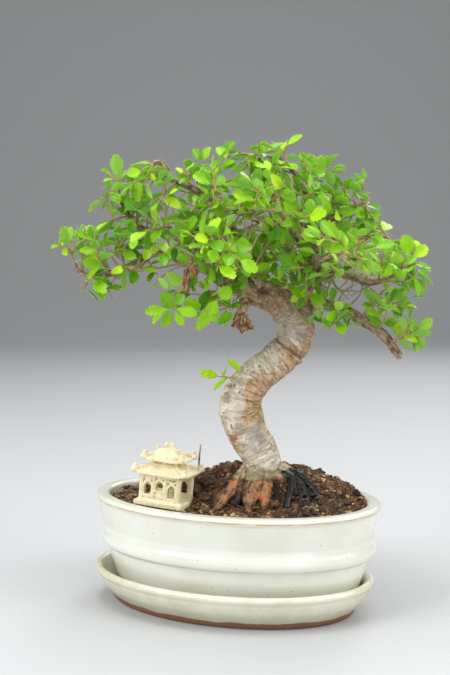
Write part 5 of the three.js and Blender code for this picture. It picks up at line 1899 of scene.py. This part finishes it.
def add_front(casting, matrix):
    """One long wall: slender pilasters, raised pointed frames, and small piercings over each arch."""
    half = WALLS[0] / 2
    holes, frames = [], []
    for middle, sill, spring, apex in BAYS:
        inner = pointed_arch(middle, BAY_WIDTH, sill, spring, apex)
        outer = pointed_arch(middle, BAY_WIDTH + 1.5, sill - 0.8, spring, apex + 1.1)
        frames.append((outer, inner))
        holes += [inner, *[disc(middle + side * 2.1, apex + 0.7, 0.52, 1.35) for side in SIDES]]
    holes.append(rectangle(5.2, 8.9, 10.9, 11.7))
    casting.panel(rectangle(-half, half, -1.2, WALL_HEIGHT + 0.6), holes, WALL_THICKNESS, matrix)
    for outer, inner in frames:
        casting.panel(outer, [inner], WALL_THICKNESS + 0.9, matrix)
    pilasters = ((-half + 0.8, 0.95), (-3.45, 0.6), (3.45, 0.6), (half - 0.8, 0.95))
    casting.bands(matrix, [(x - wide, x + wide, -1.0, WALL_HEIGHT, 1.3) for x, wide in pilasters])
    casting.bands(matrix, [
        (-half, half, 12.4, WALL_HEIGHT + 0.3, 1.2), (-half, half, -1.0, 0.5, 1.2),
        (-half, -3.4, 1.2, 1.7, 0.8), (3.4, half, 0.9, 1.4, 0.8)])


def add_side(casting, matrix):
    """One short side: an open bay between two columns, under a lintel with a low arch."""
    half = WALLS[1] / 2 - 0.2
    opening = [(-7.9, -0.5), (7.9, -0.5), (7.9, 10.6), (6.2, 11.6), (0, 12.0), (-6.2, 11.6), (-7.9, 10.6)]
    casting.panel(rectangle(-half, half, -1.2, WALL_HEIGHT + 0.6), [opening], WALL_THICKNESS, matrix)
    for side in SIDES:
        low, high = sorted((side * 8.1, side * half))
        casting.bands(matrix, [
            (low, high, -1.0, WALL_HEIGHT, 0.9), (low - 0.3, high + 0.3, -1.0, 0.5, 1.5),
            (low - 0.3, high + 0.3, 11.6, 12.4, 1.5)])


def add_roof(casting, roof, profile, cells=30):
    """A hipped slab whose corners turn up. Profile turns 0 at the eave to 1 in the middle into the rise."""
    steps = np.linspace(-1, 1, cells + 1)
    gx, gy = np.meshgrid(steps, steps, indexing="ij")
    corner = (np.abs(gx) * np.abs(gy)) ** 4
    low = roof["eave"] + roof["lift"] * corner
    high = low + roof["edge"] + roof["rise"] * profile(1 - np.maximum(np.abs(gx), np.abs(gy)))
    flat = [gx * roof["half"][0], gy * roof["half"][1]]
    top = np.stack([*flat, high], axis=-1).reshape(-1, 3)
    bottom = np.stack([*flat, low], axis=-1).reshape(-1, 3)
    count, side = len(top), cells + 1
    faces = []
    for i in range(cells):
        for j in range(cells):
            a, b, c, d = i * side + j, (i + 1) * side + j, (i + 1) * side + j + 1, i * side + j + 1
            faces += [(a, b, c, d), (count + d, count + c, count + b, count + a)]
    for i in range(cells):
        for a, b in ((i * side, (i + 1) * side), ((i + 1) * side + cells, i * side + cells),
                     (i + 1, i), (cells * side + i, cells * side + i + 1)):
            faces.append((b, a, count + a, count + b))
    casting.add(np.vstack([top, bottom]), faces)


def add_corners(casting, corners, knob, radius=0.95):
    """Along each hip a rib that rises and ends in a two-lobed knob."""
    for sx in SIDES:
        for sy in SIDES:
            turn = np.array([sx, sy, 1.0])
            casting.rod([np.array(p) * turn for p in corners], (radius * 0.75, radius, radius * 0.8))
            casting.ball(np.array(knob) * turn, (radius * 1.9, radius * 1.9, radius * 1.8))
            upper = np.array(knob) * turn + [-0.4 * sx, -0.35 * sy, radius * 2.3]
            casting.ball(upper, (radius * 1.35, radius * 1.35, radius * 1.4))


def quarter_turned(turns):
    return Matrix.Rotation(turns * math.pi / 2, 4, "Z")


def add_neck(casting):
    casting.centred(6.9, 4.9, 17.0, 21.0)
    casting.centred(8.2, 6.2, 16.4, 17.7)
    casting.centred(7.9, 5.9, 20.3, 21.0)
    for turns, half, depth in ((0, 7.4, 5.3), (1, 5.4, 7.3)):
        slot, middle = half * 0.36, half * 0.48
        holes = [rectangle(side * middle - slot, side * middle + slot, 18.9, 19.8) for side in SIDES]
        for side in SIDES:
            matrix = quarter_turned(turns) @ Matrix.Translation((0, side * depth, 0))
            casting.panel(rectangle(-half, half, 17.2, 20.8), holes, 1.0, matrix)


def domed(inward):
    """A gentle skirt, then a steep shoulder and a flat top."""
    shoulder = np.clip((inward - 0.22) / 0.42, 0, 1)
    return 0.25 * np.minimum(inward / 0.3, 1) + 0.75 * shoulder * shoulder * (3 - 2 * shoulder)


def add_finial(casting):
    casting.centred(3.1, 2.1, 26.4, 27.3)
    casting.ball((0.9, 0, 27.5), (2.6, 1.7, 0.8))
    casting.ball((-2.0, 0, 28.9), (1.15, 1.1, 1.2))
    casting.ball((-1.8, 0, 27.8), (0.8, 0.9, 0.9))
    casting.ball((1.05, 0, 28.9), (1.75, 1.6, 1.6))


def make_pavilion(material):
    casting = Casting()
    casting.centred(PLATE[0] / 2, PLATE[1] / 2, -PLATE_SUNK, PLATE_TOP)
    casting.centred(PLATE[0] / 2 - 0.9, PLATE[1] / 2 - 0.9, PLATE_TOP - 0.4, PLATE_TOP + 0.5)
    for side in SIDES:
        add_front(casting, Matrix.Translation((0, side * (WALLS[1] - WALL_THICKNESS) / 2, 0)))
        place = Matrix.Translation((side * (WALLS[0] - WALL_THICKNESS) / 2, 0, 0))
        add_side(casting, place @ quarter_turned(1))
    add_roof(casting, LOWER_ROOF, lambda inward: np.minimum(inward / 0.5, 1) ** 1.15)
    add_corners(casting, ((7.4, 5.4, 17.8), (11.0, 9.0, 17.2), (13.8, 11.9, 16.6)), (14.5, 12.5, 15.6))
    add_neck(casting)
    add_roof(casting, UPPER_ROOF, domed)
    add_corners(casting, ((5.8, 4.4, 24.8), (8.4, 6.7, 23.9), (10.4, 8.5, 23.3)), (11.0, 9.1, 22.7))
    add_finial(casting)
    pavilion = casting.made("pavilion_cast")
    modify(pavilion, "REMESH", mode="VOXEL", voxel_size=PAVILION_VOXEL * MM)
    applied(pavilion)
    points = smoothed(points_of(pavilion.data) / MM, pavilion.data, 3)
    uneven = 0.05 * lumps(points, 2.2, 151) + 0.04 * lumps(points, 0.9, 157)
    move_points(pavilion, points + normals_of(pavilion.data) * uneven[:, None])
    modify(pavilion, "DECIMATE", ratio=min(PAVILION_FACES / (2 * len(pavilion.data.polygons)), 1))
    applied(pavilion)
    points = points_of(pavilion.data) / MM
    # How deep each point lies in a hollow, for the painted shade there
    hollow = dots(smoothed(points, pavilion.data, 12) - points, normals_of(pavilion.data))
    matrix = np.array(pavilion_matrix())
    move_points(pavilion, points @ matrix[:3, :3].T + matrix[:3, 3])
    settle(pavilion, [material], "ivory", ["pavilion"], hollow=np.clip(hollow / 0.3, 0, 1))


# Dry stem, in the tree's turn
DRY_STEM = np.array([(-18.0, 10, 62), (-18, 10, 74), (-17, 10, 86)])
DRY_STEM_RADII = (0.62, 0.5, 0.36)
STEM_NODES = (0.34, 0.66)


def make_dry_stem(material):
    shares = np.linspace(0, 1, 60)
    middle = np.array([curve_point(DRY_STEM, share) for share in shares])
    middle += 0.16 * np.column_stack([lumps(middle, 5.0, 163 + axis) for axis in range(3)])
    radii = np.interp(shares, (0, 0.5, 1), DRY_STEM_RADII) * (1 + 0.14 * lumps(middle, 1.4, 167))
    for node in STEM_NODES:
        radii *= 1 + 0.45 * bell(shares - node, 0.018)
    points, faces = tube(middle, radii, 14)
    tip = np.clip((points[:, 2] - DRY_STEM[0][2]) / 24, 0, 1)
    settle(loose_object("stem_dry", turned(points), faces), [material], "dried_stem", ["dry_stem"], tip=tip)


# Drain lattices: a ring and crossed bars over each hole, under the soil
LATTICE_RADII = (8.0, 9.0)
LATTICE_THICKNESS = 1.2
LATTICE_BAR = 0.45
LATTICE_BAR_REACH = 8.3
LATTICE_PITCH = 2.2
LATTICE_SIDES = 48


def make_lattice(side, material):
    bottom, top = POT_FLOOR + GAP, POT_FLOOR + GAP + LATTICE_THICKNESS
    lattice = Heap()
    inner, outer = [circle(LATTICE_SIDES, radius) for radius in LATTICE_RADII]
    rings = ((inner, bottom), (outer, bottom), (outer, top), (inner, top))
    points = [np.column_stack([ring, np.full(LATTICE_SIDES, z)]) for ring, z in rings]
    walls = ring_faces(5, LATTICE_SIDES)[:4 * LATTICE_SIDES]
    lattice.add(np.vstack(points), np.array(walls) % (4 * LATTICE_SIDES))
    for offset in LATTICE_PITCH * np.arange(-3, 4):
        reach = math.sqrt(LATTICE_BAR_REACH ** 2 - offset ** 2)
        lattice.box(offset - LATTICE_BAR, offset + LATTICE_BAR, -reach, reach, bottom + 0.1, top - 0.3)
        lattice.box(-reach, reach, offset - LATTICE_BAR, offset + LATTICE_BAR, bottom + 0.3, top - 0.1)
    middle = POT_OFFSET + [side * DRAIN_HOLE_X, 0, 0]
    which = "left" if side < 0 else "right"
    piece = lattice.made(f"drain_lattice_{which}", lambda points: points + middle)
    settle(piece, [material], "mesh_plastic", [f"drain_mesh_{which}"])


def grow_tree():
    garden = Garden()
    for line in WOOD.values():
        garden.add_wood(line, "wood", 8)
    twigs = [twigs_of(spray) for spray in SPRAYS]
    for number, lines in enumerate(twigs):
        for part, line in enumerate(lines):
            garden.add_wood(line, f"{number}.{part}", 16)
    grow_first_leaves(garden, twigs)
    growth = Growth(garden, cad_box)
    grow_clear_leaves(growth, twigs)
    for number, lines in enumerate(twigs[:TRUNK_SPRIG]):
        grow_side_twigs(growth, number, lines)
    grow_shoots(growth)
    make_foliage(garden, growth, twigs)


def main():
    make_camera()
    make_studio()
    make_saucer(saucer_material())
    make_pot(glaze_material())
    make_soil(soil_material("soil_dark", 0.55))
    make_grains(soil_material("soil_crumbs", 0.35))
    make_wood(bark_material())
    make_pavilion(ivory_material())
    make_dry_stem(stem_material())
    plastic = lattice_material()
    for side in SIDES:
        make_lattice(side, plastic)
    grow_tree()


main()
